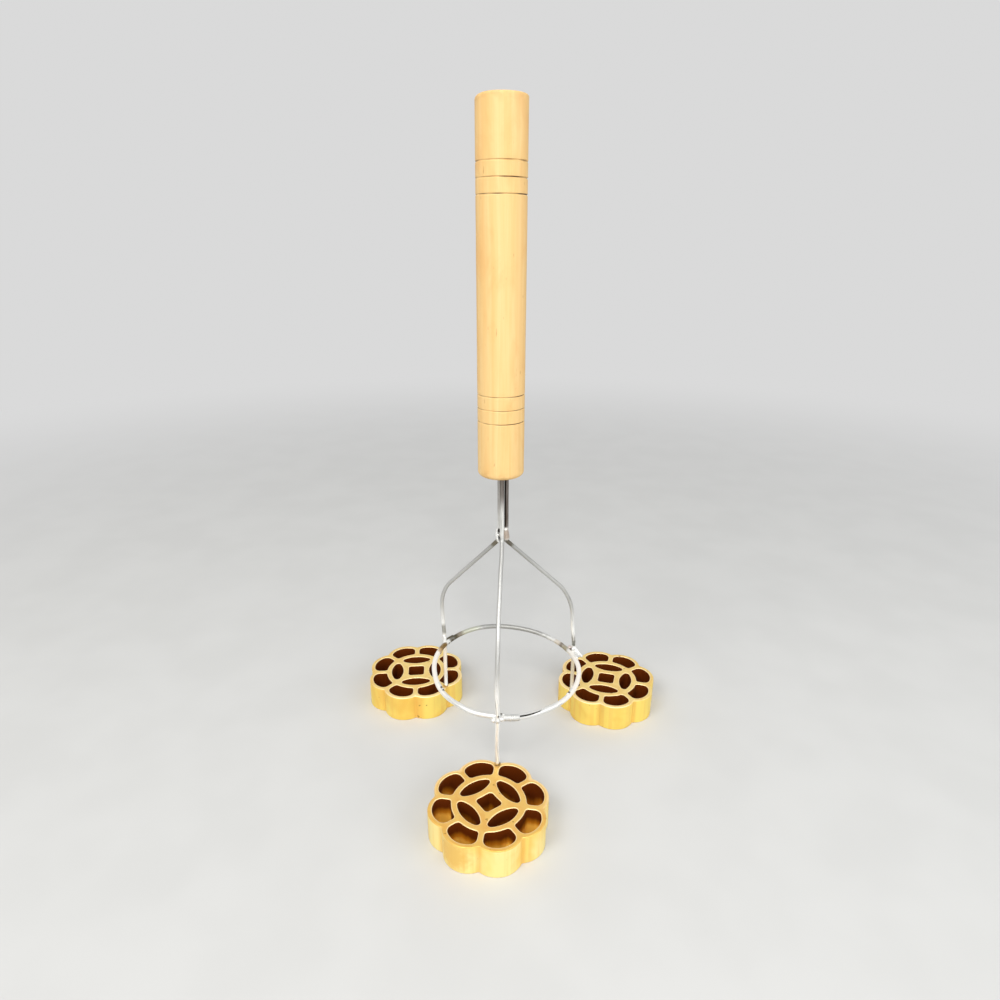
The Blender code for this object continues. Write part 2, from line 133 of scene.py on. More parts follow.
# Fineness
PETAL_STEPS = 30
CELL_STEPS = 16
FILLET_STEPS = 7
EDGE_STEPS = 4
WALL_STEPS = 9
WIRE_SIDES = 20
WIRE_STEP = 1.2 * MM
OUTLINE_STEP = 1.4 * MM
HOOP_SIDES = 24
HOOP_STEPS = 340
HANDLE_SIDES = 160

handle_low, handle_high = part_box("handle")
AXIS = Vector(((handle_low.x + handle_high.x) / 2, (handle_low.y + handle_high.y) / 2, 0))


# Numbers that never change from run to run


def wave(point, size, seed):
    """Smooth noise from -1 to 1 at a place, with features about as large as the given size."""
    return noise.noise(Vector(point) / size + Vector((seed * 7.3, seed * 3.1, seed * 5.7)))


def smooth(low, high, value):
    """A smooth step from 0 at low to 1 at high."""
    t = min(max((value - low) / (high - low), 0), 1)
    return t * t * (3 - 2 * t)


# Materials


class Nodes:
    """A short way to wire the nodes of a material or of the world."""

    def __init__(self, owner):
        owner.use_nodes = True
        self.tree = owner.node_tree

    def link(self, source, socket):
        """Sets a socket from another node's output, or from a plain value."""
        if isinstance(source, bpy.types.NodeSocket):
            self.tree.links.new(source, socket)
        else:
            socket.default_value = (*source, 1) if socket.type == "RGBA" else source

    def node(self, kind, inputs=(), **settings):
        """A node with its settings and inputs."""
        made = self.tree.nodes.new("ShaderNode" + kind)
        for name, value in settings.items():
            setattr(made, name, value)
        for key, source in dict(inputs).items():
            self.link(source, made.inputs[key])
        return made

    def math(self, operation, a, b, clamp=False):
        """One operation on two values."""
        return self.node("Math", {0: a, 1: b}, operation=operation, use_clamp=clamp).outputs[0]

    def seen(self):
        """1 for the rays of the camera, of mirrors and of glass, and 0 for light."""
        path = self.node("LightPath").outputs
        most = self.math("MAXIMUM", path["Is Camera Ray"], path["Is Glossy Ray"])
        return self.math("MAXIMUM", most, path["Is Transmission Ray"])


class Paint(Nodes):
    """A material, and the noises, ramps and mixes that colour it."""

    def __init__(self, name):
        self.material = bpy.data.materials.new(name)
        super().__init__(self.material)
        self.shader = self.tree.nodes["Principled BSDF"]
        self.coords = self.node("TexCoord").outputs["Object"]

    def stretched(self, scale):
        """The object's own coordinates, scaled along each axis."""
        return self.node("Mapping", {"Vector": self.coords, "Scale": scale}).outputs[0]

    def noise(self, scale, detail, rough=0.5, distort=0.0, stretch=(1, 1, 1)):
        """Noise from 0 to 1. The scale is the count of features for each metre."""
        inputs = {"Vector": self.stretched(stretch), "Scale": scale, "Detail": detail}
        inputs |= {"Roughness": rough, "Distortion": distort}
        return self.node("TexNoise", inputs).outputs["Fac"]

    def ramp(self, value, low, high, start=0.0, end=1.0):
        """Maps a value smoothly from one range to another."""
        inputs = {"Value": value, 1: low, 2: high, 3: start, 4: end}
        return self.node("MapRange", inputs, interpolation_type="SMOOTHSTEP").outputs[0]

    def mix(self, share, first, second):
        """Mixes two colours."""
        made = self.node("Mix", data_type="RGBA")
        for number, source in ((0, share), (6, first), (7, second)):
            self.link(source, made.inputs[number])
        return made.outputs[2]

    def over(self, colour, tint, value, low, high, most=1.0):
        """Lays a tint over a colour, the more the higher a value is."""
        return self.mix(self.ramp(value, low, high, 0.0, most), colour, tint)

    def distance(self, place, other):
        """How far one place is from another."""
        made = self.node("VectorMath", {0: place, 1: other}, operation="DISTANCE")
        return made.outputs["Value"]

    def attribute(self, name):
        """A value that the mesh carries."""
        return self.node("Attribute", attribute_name=name).outputs["Fac"]

    def drawn(self, scale, detail):
        """Noise in streaks that follow a wire."""
        run = self.math("MULTIPLY", self.attribute("run"), 55.0)
        inputs = {0: self.attribute("round_x"), 1: self.attribute("round_y"), 2: run}
        place = self.node("CombineXYZ", inputs).outputs[0]
        inputs = {"Vector": place, "Scale": scale, "Detail": detail}
        return self.node("TexNoise", inputs).outputs["Fac"]

    def height(self):
        """How high a point lies, in metres."""
        return self.node("SeparateXYZ", {0: self.coords}).outputs[2]

    def bump(self, value, depth):
        """Relief of the given depth in metres."""
        made = self.node("Bump", {"Height": value, "Distance": depth})
        self.tree.links.new(made.outputs[0], self.shader.inputs["Normal"])

    def finish(self, colour, rough, metallic=0.0, specular=0.5):
        """Sets the shader's main inputs."""
        self.link(colour, self.shader.inputs["Base Color"])
        self.link(rough, self.shader.inputs["Roughness"])
        self.shader.inputs["Metallic"].default_value = metallic
        self.shader.inputs["Specular IOR Level"].default_value = specular
        return self.material


def wood_material():
    """Pale turned wood with upright fibres, soft blotches, pores and burnt grooves."""
    p = Paint("Turned wood")
    fibres = p.noise(1.0, 7.0, 0.62, 0.2, (1500, 1500, 45))
    bands = p.noise(1.0, 3.0, 0.55, 1.2, (210, 210, 9))
    blotch = p.noise(1.0, 4.0, 0.6, 0.4, (75, 75, 40))
    colour = p.over((0.72, 0.50, 0.225), (0.685, 0.435, 0.165), bands, 0.30, 0.70)
    colour = p.over(colour, (0.66, 0.36, 0.125), blotch, 0.48, 0.76, 0.6)
    colour = p.mix(p.ramp(fibres, 0.30, 0.60, 0.14, 0), colour, (0.62, 0.36, 0.12))
    pores = p.noise(1.0, 2.0, 0.5, 0.0, (620, 620, 130))
    colour = p.over(colour, (0.36, 0.17, 0.05), pores, 0.71, 0.78, 0.55)
    grime = p.math("MULTIPLY", p.attribute("grime"), p.ramp(p.noise(260, 3), 0.42, 0.66), True)
    colour = p.mix(p.math("MULTIPLY", grime, 0.3), colour, (0.50, 0.26, 0.08))
    colour = p.mix(p.attribute("burn"), colour, (0.035, 0.016, 0.008))
    rough = p.ramp(fibres, 0.2, 0.8, 0.50, 0.66)
    p.bump(p.math("ADD", fibres, p.math("MULTIPLY", bands, 0.6)), 0.00010)
    return p.finish(colour, rough, specular=0.35)


def metal_tint(p, colour, spots):
    """Colours laid round places, each with its place, reach, colour and strength: heat tint from
    welding, dark marks in crevices, and painted shade.
    """
    for place, reach, tint, strength in spots:
        wander = p.math("MULTIPLY", p.math("SUBTRACT", p.noise(420, 3), 0.5), reach * 0.8)
        apart = p.math("ADD", p.distance(p.coords, place), wander)
        near = p.ramp(apart, reach * 0.55, reach * 1.4, strength, 0.0)
        colour = p.mix(near, colour, tint)
    return colour


# How grey a leg is: from one height to another it turns to the given tone
LEG_TONES = ((60 * MM, 82 * MM, 0.46), (104 * MM, 128 * MM, 0.36), (133 * MM, 138 * MM, 0.68))


def smoked(p, colour, streak, start, full, most):
    """The handle's smoke on the bundle of wires, and painted shade between its wires."""
    smoke = p.ramp(p.height(), CROTCH_Z + start, CROTCH_Z + full, 0.0, most)
    smoke = p.math("ADD", smoke, p.math("MULTIPLY", p.math("SUBTRACT", streak, 0.5), smoke), True)
    colour = p.mix(smoke, colour, (0.085, 0.062, 0.048))
    # Painted shade between the middle wire and the right one, above the fork
    flat = p.node("VectorMath", {0: p.coords, 1: (1, 1, 0)}, operation="MULTIPLY").outputs["Vector"]
    inner = p.distance(flat, tuple(AXIS + Vector((*CREVICE_SHADE_AT, 0))))
    above = p.ramp(p.height(), CROTCH_Z + 5 * MM, CROTCH_Z + 8 * MM)
    crevice_shade = p.math("MULTIPLY", p.ramp(inner, 0.7 * MM, 1.3 * MM, 0.96, 0.0), above)
    return p.mix(crevice_shade, colour, (0.018, 0.010, 0.006))


def wire_material(name, spots, bundle=None, dull=0.5):
    """Drawn wire, white and satin, with streaks along it and heat tint round its welds."""
    p = Paint(name)
    streak = p.drawn(1.15, 4)
    colour = (0.90, 0.90, 0.88) if bundle else (0.72, 0.72, 0.695)
    for low, high, tone in LEG_TONES if bundle else ():
        colour = p.over(colour, (tone, tone, tone * 0.96), p.height(), low, high)
    colour = p.over(colour, (0.27, 0.27, 0.25), streak, 0.50, 0.70, dull)
    colour = p.over(colour, (0.22, 0.20, 0.15), p.noise(900, 2), 0.70, 0.78, 0.55)
    if bundle:
        colour = smoked(p, colour, streak, *bundle)
    colour = metal_tint(p, colour, spots)
    p.bump(p.math("ADD", p.noise(1500, 2), p.math("MULTIPLY", streak, 1.5)), 0.00002)
    return p.finish(colour, p.ramp(streak, 0.3, 0.7, 0.34, 0.50), 0.5)


def weld_material(name, shine, tint, share, spots=(), pitted=0.5):
    """Smooth weld metal, bright in patches and brown with scale in others."""
    p = Paint(name)
    patch = p.noise(480, 3, 0.5, 0.3)
    colour = p.over(shine, tint, patch, share, share + 0.18)
    pits = p.noise(1200, 2)
    colour = p.over(colour, (0.07, 0.055, 0.035), pits, 0.66, 0.74, pitted)
    colour = metal_tint(p, colour, spots)
    rough = p.ramp(patch, 0.3, 0.7, 0.34, 0.52)
    p.bump(p.math("SUBTRACT", p.noise(800, 2), p.ramp(pits, 0.62, 0.76)), 0.00006)
    return p.finish(colour, rough, 0.45)


def slit_shade_material():
    """A dark strip at the bottom of a slit: painted shade, and scale."""
    p = Paint("Dark slit shade and scale")
    dark, pale = (0.010, 0.008, 0.006), (0.035, 0.024, 0.014)
    colour = p.over(dark, pale, p.noise(700, 3), 0.35, 0.7)
    return p.finish(colour, 0.85, specular=0.05)


def brass_specks(p, colour):
    """A few olive spots and small pits in the casting."""
    spots = p.noise(330, 2)
    colour = p.over(colour, (0.33, 0.17, 0.03), spots, 0.70, 0.76, 0.75)
    return colour, p.ramp(spots, 0.68, 0.78)


def brass_rim_material(name, pale, deep):
    """The ground top and bottom of a casting: warm satin brass, with a painted highlight on its
    rounded edges.
    """
    p = Paint(name)
    patch = p.noise(150, 4, 0.6, 0.3)
    colour = p.over(pale, deep, patch, 0.36, 0.68)
    # Painted highlight along the rounded edges
    colour = p.over(colour, (1.0, 0.78, 0.42), p.attribute("edge"), 0.1, 0.9, 0.7)
    colour, spots = brass_specks(p, colour)
    grain = p.noise(1.0, 4.0, 0.6, 0.0, (900, 3200, 900))
    rough = p.ramp(patch, 0.3, 0.7, 0.38, 0.52)
    p.bump(p.math("SUBTRACT", grain, spots), 0.00004)
    return p.finish(colour, rough, 0.55)


def brass_wall_material(name, pale, deep, spots=()):
    """The outside of a casting: pale satin brass, blotched and streaked, with painted shade in the
    notches.
    """
    p = Paint(name)
    blotch = p.noise(1.0, 3.0, 0.5, 0.4, (48, 48, 34))
    colour = p.over(pale, deep, blotch, 0.47, 0.72)
    streak = p.noise(1.0, 3.0, 0.55, 0.1, (330, 330, 14))
    colour = p.over(colour, (0.83, 0.51, 0.115), streak, 0.46, 0.70, 0.55)
    colour = metal_tint(p, colour, spots)
    # Painted shade in the notches between the petals
    colour = p.over(colour, (0.74, 0.40, 0.08), p.attribute("notch"), 0.0, 1.0, 0.45)
    colour, spots = brass_specks(p, colour)
    skin = p.noise(600, 4, 0.55)
    rough = p.ramp(blotch, 0.3, 0.7, 0.46, 0.58)
    p.bump(p.math("SUBTRACT", skin, spots), 0.00003)
    return p.finish(colour, rough, 0.5)


def brass_cell_material():
    """The inside of a cell: dark brown near the rim, golden lower down in painted light from below,
    softly streaked.
    """
    p = Paint("Brass cell")
    streak = p.noise(1.0, 2.0, 0.5, 0.2, (260, 260, 14))
    depth = p.math("SUBTRACT", RIM_Z, p.height())
    depth = p.math("ADD", depth, p.math("MULTIPLY", p.math("SUBTRACT", streak, 0.5), 3 * MM))
    # Painted light from below: weaker in the far and middle cells and in the side castings
    depth = p.math("MULTIPLY", depth, p.attribute("lit"))
    brown, glow_amber = (0.105, 0.019, 0.0012), (0.60, 0.215, 0.010)
    glow_gold = (1.0, 0.575, 0.085)
    colour = p.over(brown, glow_amber, depth, 5.0 * MM, 9.8 * MM)
    colour = p.over(colour, glow_gold, depth, 8.4 * MM, 11.6 * MM)
    p.bump(p.noise(700, 4, 0.55), 0.00004)
    return p.finish(colour, 0.6, specular=0.08)


# Outlines of the castings, in two dimensions


def arc(centre, radius, start, end, steps):
    """Points along an arc, both ends included."""
    x, y = centre
    angles = [start + (end - start) * i / steps for i in range(steps + 1)]
    return [(x + radius * cos(a), y + radius * sin(a)) for a in angles]


def pairs(points):
    """Each point of a closed outline with the next one."""
    return zip(points, points[1:] + points[:1])


def turned_by(points, angle):
    """Points turned about the origin."""
    return [(x * cos(angle) - y * sin(angle), x * sin(angle) + y * cos(angle)) for x, y in points]


def mirrored(points):
    """Points mirrored in the middle line of the first petal, and so taken in reverse."""
    c, s = cos(2 * HALF_PETAL), sin(2 * HALF_PETAL)
    return [(x * c + y * s, x * s - y * c) for x, y in reversed(points)]


def petal_circle():
    """Centre and radius of the first petal's round outside."""
    along, across = NOTCH_RADIUS * cos(HALF_PETAL), NOTCH_RADIUS * sin(HALF_PETAL)
    reach = (MOULD_RADIUS**2 - along**2 - across**2) / (2 * (MOULD_RADIUS - along))
    return (reach * cos(HALF_PETAL), reach * sin(HALF_PETAL)), MOULD_RADIUS - reach


def mould_outline():
    """The scalloped outside."""
    (px, py), radius = petal_circle()
    notch = px + sqrt((radius + NOTCH_FILLET) ** 2 - py**2)
    lean = atan2(py, px - notch)
    meet = atan2(-py, notch - px)
    section = arc((notch, 0), NOTCH_FILLET, 2 * pi - lean, lean, FILLET_STEPS)
    section += arc((px, py), radius, meet, 2 * HALF_PETAL - meet, PETAL_STEPS)[1:-1]
    return [p for k in range(PETALS) for p in turned_by(section, 2 * HALF_PETAL * k)]


def petal_cell():
    """The first petal's cell."""
    (px, py), radius = petal_circle()
    inside = radius - PETAL_WALL
    inner_y = WEB / 2 + CELL_INNER_FILLET
    inner_x = sqrt((RING_OUTER + CELL_INNER_FILLET) ** 2 - inner_y**2)
    outer_y = WEB / 2 + CELL_OUTER_FILLET
    outer_x = px + sqrt((inside - CELL_OUTER_FILLET) ** 2 - (outer_y - py) ** 2)
    inner_turn = atan2(inner_y, inner_x)
    outer_turn = atan2(outer_y - py, outer_x - px)
    side = arc((inner_x, inner_y), CELL_INNER_FILLET, inner_turn - pi, -pi / 2, FILLET_STEPS)
    side += arc((outer_x, outer_y), CELL_OUTER_FILLET, -pi / 2, outer_turn, FILLET_STEPS)
    far = arc((px, py), inside, outer_turn, 2 * HALF_PETAL - outer_turn, CELL_STEPS)[1:-1]
    near = arc((0, 0), RING_OUTER, 2 * HALF_PETAL - inner_turn, inner_turn, CELL_STEPS)[1:-1]
    return side + far + mirrored(side) + near


def almond_cell():
    """An almond between the ring and the star."""
    centre = ALMOND_NEAR + RING_INNER
    x, y = centre / 2, sqrt((RING_INNER - ALMOND_TIP) ** 2 - (centre / 2) ** 2)
    turn = atan2(y, x)
    outline = arc((0, 0), RING_INNER, -turn, turn, CELL_STEPS)
    outline += arc((x, y), ALMOND_TIP, turn, pi - turn, FILLET_STEPS)[1:-1]
    outline += arc((centre, 0), RING_INNER, pi - turn, pi + turn, CELL_STEPS)
    outline += arc((x, -y), ALMOND_TIP, pi + turn, 2 * pi - turn, FILLET_STEPS)[1:-1]
    return outline


def star_hole():
    """The square hole in the star, its round corners along the star's arms."""
    corner = STAR_HOLE / 2 - STAR_HOLE_FILLET
    quarter = arc((corner, corner), STAR_HOLE_FILLET, 0, pi / 2, FILLET_STEPS)
    return [p for k in range(4) for p in turned_by(quarter, pi / 4 + k * pi / 2)]


def resampled(points, step):
    """A closed outline with long straight sides divided."""
    out = []
    for (x0, y0), (x1, y1) in pairs(points):
        parts = max(1, round(hypot(x1 - x0, y1 - y0) / step))
        out += [(x0 + (x1 - x0) * i / parts, y0 + (y1 - y0) * i / parts) for i in range(parts)]
    return out


def wound(points, left):
    """An outline in the order that leaves the metal on its left hand."""
    area = sum(a[0] * b[1] - b[0] * a[1] for a, b in pairs(points))
    return points if (area > 0) == left else points[::-1]


def away(points):
    """At each point of an outline, the direction that leaves the metal."""
    out = []
    for before, after in zip(points[-1:] + points[:-1], points[1:] + points[:1]):
        x, y = after[0] - before[0], after[1] - before[1]
        size = hypot(x, y)
        out.append((y / size, -x / size))
    return out


# Places in plan


def ahead(angle):
    """One metre along an angle in plan."""
    return Vector((cos(angle), sin(angle), 0))


def order(name):
    """A leg's number, from which its small unevenness comes."""
    return list(LEGS).index(name)


def leg_place(name):
    """The foot of a leg in plan."""
    direction, share, _ = LEGS[name]
    return AXIS + ahead(direction) * LEG_REACH * share


def mould_place(name):
    """The centre of a leg's casting in plan."""
    return leg_place(name) + ahead(LEGS[name][2]) * (NOTCH_RADIUS - LEG_SEAT_INSET)


def hoop_circle():
    """Centre and radius of the hoop in plan."""
    a, b, c = [leg_place(name) for name in LEGS]
    twice = 2 * (a.x * (b.y - c.y) + b.x * (c.y - a.y) + c.x * (a.y - b.y))
    aa, bb, cc = a.dot(a), b.dot(b), c.dot(c)
    x = (aa * (b.y - c.y) + bb * (c.y - a.y) + cc * (a.y - b.y)) / twice
    y = (aa * (c.x - b.x) + bb * (a.x - c.x) + cc * (b.x - a.x)) / twice
    radius = hypot(a.x - x, a.y - y) - LEG_RADIUS - HOOP_WIRE_RADIUS - GAP
    return Vector((x, y, 0)), radius


def hoop_frame():
    """The hoop's place, tilted a little as it was welded."""
    centre, _ = hoop_circle()
    tilt = Euler((HOOP_PITCH, HOOP_ROLL, 0)).to_matrix().to_4x4()
    return Matrix.Translation(centre + Vector((0, 0, HOOP_Z))) @ tilt


def hoop_angle(name):
    """The direction of a leg seen from the hoop's centre."""
    leg = leg_place(name) - hoop_circle()[0]
    return atan2(leg.y, leg.x)


def hoop_point(angle, out=0.0, up=0.0):
    """A point at an angle of the hoop, moved out from its wire's middle and up."""
    radius = hoop_circle()[1] + out
    for middle, half, height in HOOP_SWELLS:
        apart = (angle - radians(middle) + pi) % (2 * pi) - pi
        if abs(apart) < radians(half):
            radius += height * MM * cos(apart / radians(half) * pi / 2) ** 2
    return hoop_frame() @ Vector((radius * cos(angle), radius * sin(angle), up))


def past(name, distance):
    """The hoop's angle at a distance past a leg, counted anticlockwise from above."""
    return hoop_angle(name) + distance / hoop_circle()[1]


# Meshes


def add(name, data):
    """A new object in the scene."""
    obj = bpy.data.objects.new(name, data)
    bpy.context.scene.collection.objects.link(obj)
    return obj


def add_piece(name, mesh, node, materials):
    """A finished piece in place of a CAD node."""
    obj = add(name, mesh)
    for material in materials:
        mesh.materials.append(material)
    mesh.shade_smooth()
    mesh.set_sharp_from_angle(angle=radians(42))
    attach(obj, BODY)
    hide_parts(node)


def mesh_of(work, name):
    """A mesh from a bmesh, with its faces turned outwards."""
    bmesh.ops.recalc_face_normals(work, faces=work.faces)
    mesh = bpy.data.meshes.new(name)
    work.to_mesh(mesh)
    work.free()
    return mesh


def value_layers(work, *names):
    """Values that the points carry for the materials."""
    made = work.verts.layers.float
    return [made.get(name) or made.new(name) for name in names]


def cover(work, rings, finish=lambda row: 0):
    """Faces between rings of points, each row of them in its own finish."""
    for row, (upper, lower) in enumerate(zip(rings, rings[1:])):
        for (a, b), (d, c) in zip(pairs(upper), pairs(lower)):
            work.faces.new((a, b, c, d)).material_index = finish(row)


# The castings' worn edges and uneven skin
EDGE_ROUND = 0.45 * MM
FOOT_ROUND = 0.35 * MM
CAST_SWELL = 0.12 * MM
CAST_SKIN = 0.04 * MM
RIM_SAG = 0.12 * MM
# How soon the painted light from below turns a cell golden down its wall: in each casting, and in
# the far cells and the middle ones beside the near ones
CELL_LIGHT = {"front": 1.0, "right": 0.42, "left": 0.42}
FAR_LIGHT, MIDDLE_LIGHT = 0.36, 0.74


def edge_profile():
    """How an edge runs from the top face to the bottom one: inset from the wall, and height."""
    turns = [pi / 2 * i / EDGE_STEPS for i in range(EDGE_STEPS + 1)]
    profile = [(EDGE_ROUND * 1.25, MOULD_HEIGHT)]
    profile += [(EDGE_ROUND * (1 - sin(a)), MOULD_HEIGHT - EDGE_ROUND * (1 - cos(a))) for a in turns]
    top, bottom = MOULD_HEIGHT - EDGE_ROUND, FOOT_ROUND
    profile += [(0, top + (bottom - top) * i / WALL_STEPS) for i in range(1, WALL_STEPS)]
    profile += [(FOOT_ROUND * (1 - cos(a)), FOOT_ROUND * (1 - sin(a))) for a in turns]
    profile.append((FOOT_ROUND * 1.25, 0))
    return profile


def make_mould(name, materials):
    """One casting: rounded edges, slightly uneven walls, the cells' sides in their own finish."""
    heading, seed = LEGS[name][2], order(name) + 1
    cells = [turned_by(petal_cell(), 2 * HALF_PETAL * k) for k in range(PETALS)]
    cells += [turned_by(almond_cell(), 2 * pi / ALMONDS * (k + 0.5)) for k in range(ALMONDS)]
    cells.append(star_hole())
    outlines = [wound(mould_outline(), True)] + [wound(cell, False) for cell in cells]
    place = Matrix.Translation(mould_place(name)) @ Matrix.Rotation(heading + pi, 4, "Z")
    work = bmesh.new()
    notch_shade_layer, lit_layer, edge_highlight_layer = value_layers(work, "notch", "lit", "edge")
    ends = []
    for number, raw in enumerate(outlines):
        outer = number == 0
        # hold shifts the skin's swell; top is the painted highlight on the top face's edge row
        hold, top = (0.8, 0.9) if outer else (-0.4, 0.25)
        outline = resampled(raw, OUTLINE_STEP)
        normals = away(outline)
        rings = []
        for row, (inset, z) in enumerate(edge_profile()):
            ring = []
            # The painted highlight on the rounded edge; on the outside it fades out toward one side
            edge = 1.0 if 1 <= row <= EDGE_STEPS + 1 else top if row == 0 else 0.0
            for (x, y), (nx, ny) in zip(outline, normals):
                swell = CAST_SWELL * (wave((x, y, z * 0.3), 9 * MM, seed + number) - hold)
                skin = CAST_SKIN * (wave((x, y, z * 0.5), 2.2 * MM, seed + 20) - hold)
                move = swell + skin - inset
                sag = RIM_SAG * (wave((x, y, 0), 11 * MM, seed + 40) * 0.5 + 0.5)
                z_here = z - sag if z > RIM_Z / 2 else z
                vert = work.verts.new(place @ Vector((x + nx * move, y + ny * move, z_here)))
                # Painted shade in the notches between the petals
                if outer:
                    inward = smooth(NOTCH_RADIUS, NOTCH_RADIUS + 1.5 * MM, hypot(x, y))
                    vert[notch_shade_layer] = 1 - inward
                vert[edge_highlight_layer] = edge * (smooth(-14 * MM, 16 * MM, x) if outer else 1.0)
                # How much painted light from below reaches each cell
                far = FAR_LIGHT + (1 - FAR_LIGHT) * smooth(20 * MM, 12 * MM, x)
                vert[lit_layer] = CELL_LIGHT[name] * (far if number <= PETALS else MIDDLE_LIGHT)
                ring.append(vert)
            rings.append(ring)
        ends.append((rings[0], rings[-1]))
        above = EDGE_STEPS if outer else EDGE_STEPS - 1
        below = len(rings) - EDGE_STEPS - 1
        side = 1 if outer else 2
        cover(work, rings, lambda row: side if above < row < below else 0)
    for loops in zip(*ends):
        edges = [work.edges.get(pair) for loop in loops for pair in pairs(loop)]
        bmesh.ops.triangle_fill(work, edges=edges, use_beauty=True)
    add_piece("casting_" + name, mesh_of(work, name), "mould_" + name, materials)


def sweep(work, points, radius, sides=WIRE_SIDES, cut=None, index=0):
    """A round wire through points, its ends slightly rounded.

    The radius is a function of the share of the way. The cut gives, for a point's number, the
    direction across a joint and the two limits of the metal along it.
    """
    count = len(points)
    steps = zip(points[:1] + points[:-1], points[1:] + points[-1:])
    tangents = [(after - before).normalized() for before, after in steps]
    across = tangents[0].orthogonal().normalized()
    layers = value_layers(work, "round_x", "round_y", "run")
    gone = [0.0]
    for a, b in zip(points, points[1:]):
        gone.append(gone[-1] + (b - a).length)
    rings = []

    def ring(number, centre, tangent, size):
        low, high, toward_cut = -size, size, across
        if cut:
            toward_cut, low, high = cut(number)
        side = (toward_cut - tangent * toward_cut.dot(tangent)).normalized()
        other = tangent.cross(side)
        verts = []
        for k in range(sides):
            a = 2 * pi * k / sides
            along = min(max(cos(a) * size, low), high)
            verts.append(work.verts.new(centre + side * along + other * sin(a) * size))
            for layer, value in zip(layers, (cos(a), sin(a), gone[number])):
                verts[-1][layer] = value
        rings.append(verts)
        return side

    soft = radius(0) * 0.22
    ring(0, points[0], tangents[0], radius(0) - soft)
    for i, (point, tangent) in enumerate(zip(points, tangents)):
        inset = soft if i == 0 else -soft if i == count - 1 else 0
        across = ring(i, point + tangent * inset, tangent, radius(i / (count - 1)))
    ring(count - 1, points[-1], tangents[-1], radius(1) - soft)
    cover(work, rings, lambda row: index)
    for end in (rings[0], rings[-1]):
        work.faces.new(end).material_index = index


def divided(points, step):
    """A line with long straight runs divided."""
    out = [points[0]]
    for a, b in zip(points, points[1:]):
        parts = max(1, round((b - a).length / step))
        out += [a.lerp(b, (i + 1) / parts) for i in range(parts)]
    return out


# How far a leg waves to its side and outwards, and the front one's own bow there and back
LEG_WAVE = (0.32 * MM, 0.2 * MM)
FRONT_BOW = (0.35 * MM, 0.3 * MM)


def leg_line(name):
    """A leg's centre line as bent by hand: its fork, slope and shoulder, with small waves."""
    direction, share, _ = LEGS[name]
    drop, splay, bend, lean = LEG_BENDS[name]
    seed = order(name) + 60
    reach = LEG_REACH * share
    slope, turn = tan(splay), pi / 2 - splay
    crotch = CROTCH_Z - drop - BUNDLE_OFFSET * slope
    shoulder = CROTCH_Z - drop - (reach + lean) * slope
    upper, lower = CROTCH_BEND * tan(turn / 2), bend * tan(turn / 2)
    line = [(BUNDLE_OFFSET, HANDLE_Z + TANG_SEAT)]
    line += arc((BUNDLE_OFFSET + CROTCH_BEND, crotch + upper), CROTCH_BEND, pi, pi + turn, 12)
    line += arc((reach + lean - bend, shoulder - lower), bend, turn, 0, 24)
    low = HOOP_Z + 3 * MM
    high = max(shoulder - lower, low + 6 * MM)
    for part in [i / 8 for i in range(7, -1, -1)]:
        line.append((reach + lean * smooth(0, 1, part), low + (high - low) * part))
    line += [(reach, HOOP_Z - 4 * MM), (reach, RIM_Z + GAP / 2)]
    out = ahead(direction)
    side = Vector((-out.y, out.x, 0))
    points = divided([AXIS + out * r + Vector((0, 0, z)) for r, z in line], WIRE_STEP)
    waved = []
    for point in points:
        z = point.z
        loose = smooth(CROTCH_Z + 4 * MM, CROTCH_Z - 12 * MM, z)
        loose *= min(1, abs(z - HOOP_Z) / (12 * MM)) * smooth(RIM_Z, RIM_Z + 10 * MM, z)
        shift = side * wave((z, 0, 0), 19 * MM, seed) * LEG_WAVE[0]
        shift += out * wave((z, 9, 0), 23 * MM, seed) * LEG_WAVE[1]
        fork = smooth(CROTCH_Z - 3 * MM, CROTCH_Z + 5 * MM, z)
        if name == "front":
            shift += side * FRONT_BOW[0] * smooth(90 * MM, 112 * MM, z)
            shift -= side * FRONT_BOW[1] * smooth(98 * MM, 80 * MM, z)
            fork = smooth(CROTCH_Z - 18 * MM, CROTCH_Z - 1 * MM, z)
        waved.append(point + shift * loose + Vector((BUNDLE_LEAN[name] * fork, 0, 0)))
    return waved


def make_leg(name, material):
    """One leg of drawn wire."""
    work = bmesh.new()
    size = lambda share: LEG_RADIUS * (1 + 0.02 * wave((share * 9, 3, 0), 1, 5))
    sweep(work, leg_line(name), size)
    mesh = mesh_of(work, name)
    add_piece("wire_" + name, mesh, "leg_" + name, [material])


# The joint of the hoop's ends, in millimetres: distance past the front leg, and the level at which
# each wedge is cut there
LOWER_END = ((5.0, -1.1), (12.6, -0.02), (20.0, 0.15), (25.0, 0.5), (26.6, 1.5))
UPPER_END = ((2.0, -1.5), (11.5, 0.85), (22.0, 0.9), (25.6, 1.0))
# The slit's dark strip, painted shade and scale: its start and run, its reach into the metal, its
# steps
SLIT_START, SLIT_RUN, SLIT_LAP, SLIT_STEPS = 9.0, 16.2, 0.12, 24


def level(rows, at):
    """The level of a wedge at a distance, both in millimetres."""
    for (a, u), (b, v) in zip(rows, rows[1:]):
        if at <= b:
            return u + (v - u) * min(max((at - a) / (b - a), 0), 1)
    return rows[-1][1]


def hoop_run():
    """The stations of the hoop's wire: angle, and the limits of the metal across the joint."""
    around = 2 * pi * hoop_circle()[1] / MM
    stations = []
    first, last = LOWER_END[0][0], around + UPPER_END[-1][0]
    for i in range(HOOP_STEPS + 1):
        at = first + (last - first) * i / HOOP_STEPS
        low, high = -2.0, 2.0
        if at < LOWER_END[-1][0]:
            high = level(LOWER_END, at)
        if at > around + UPPER_END[0][0]:
            low = level(UPPER_END, at - around)
        stations.append((past("front", at * MM), low * MM, high * MM))
    return stations


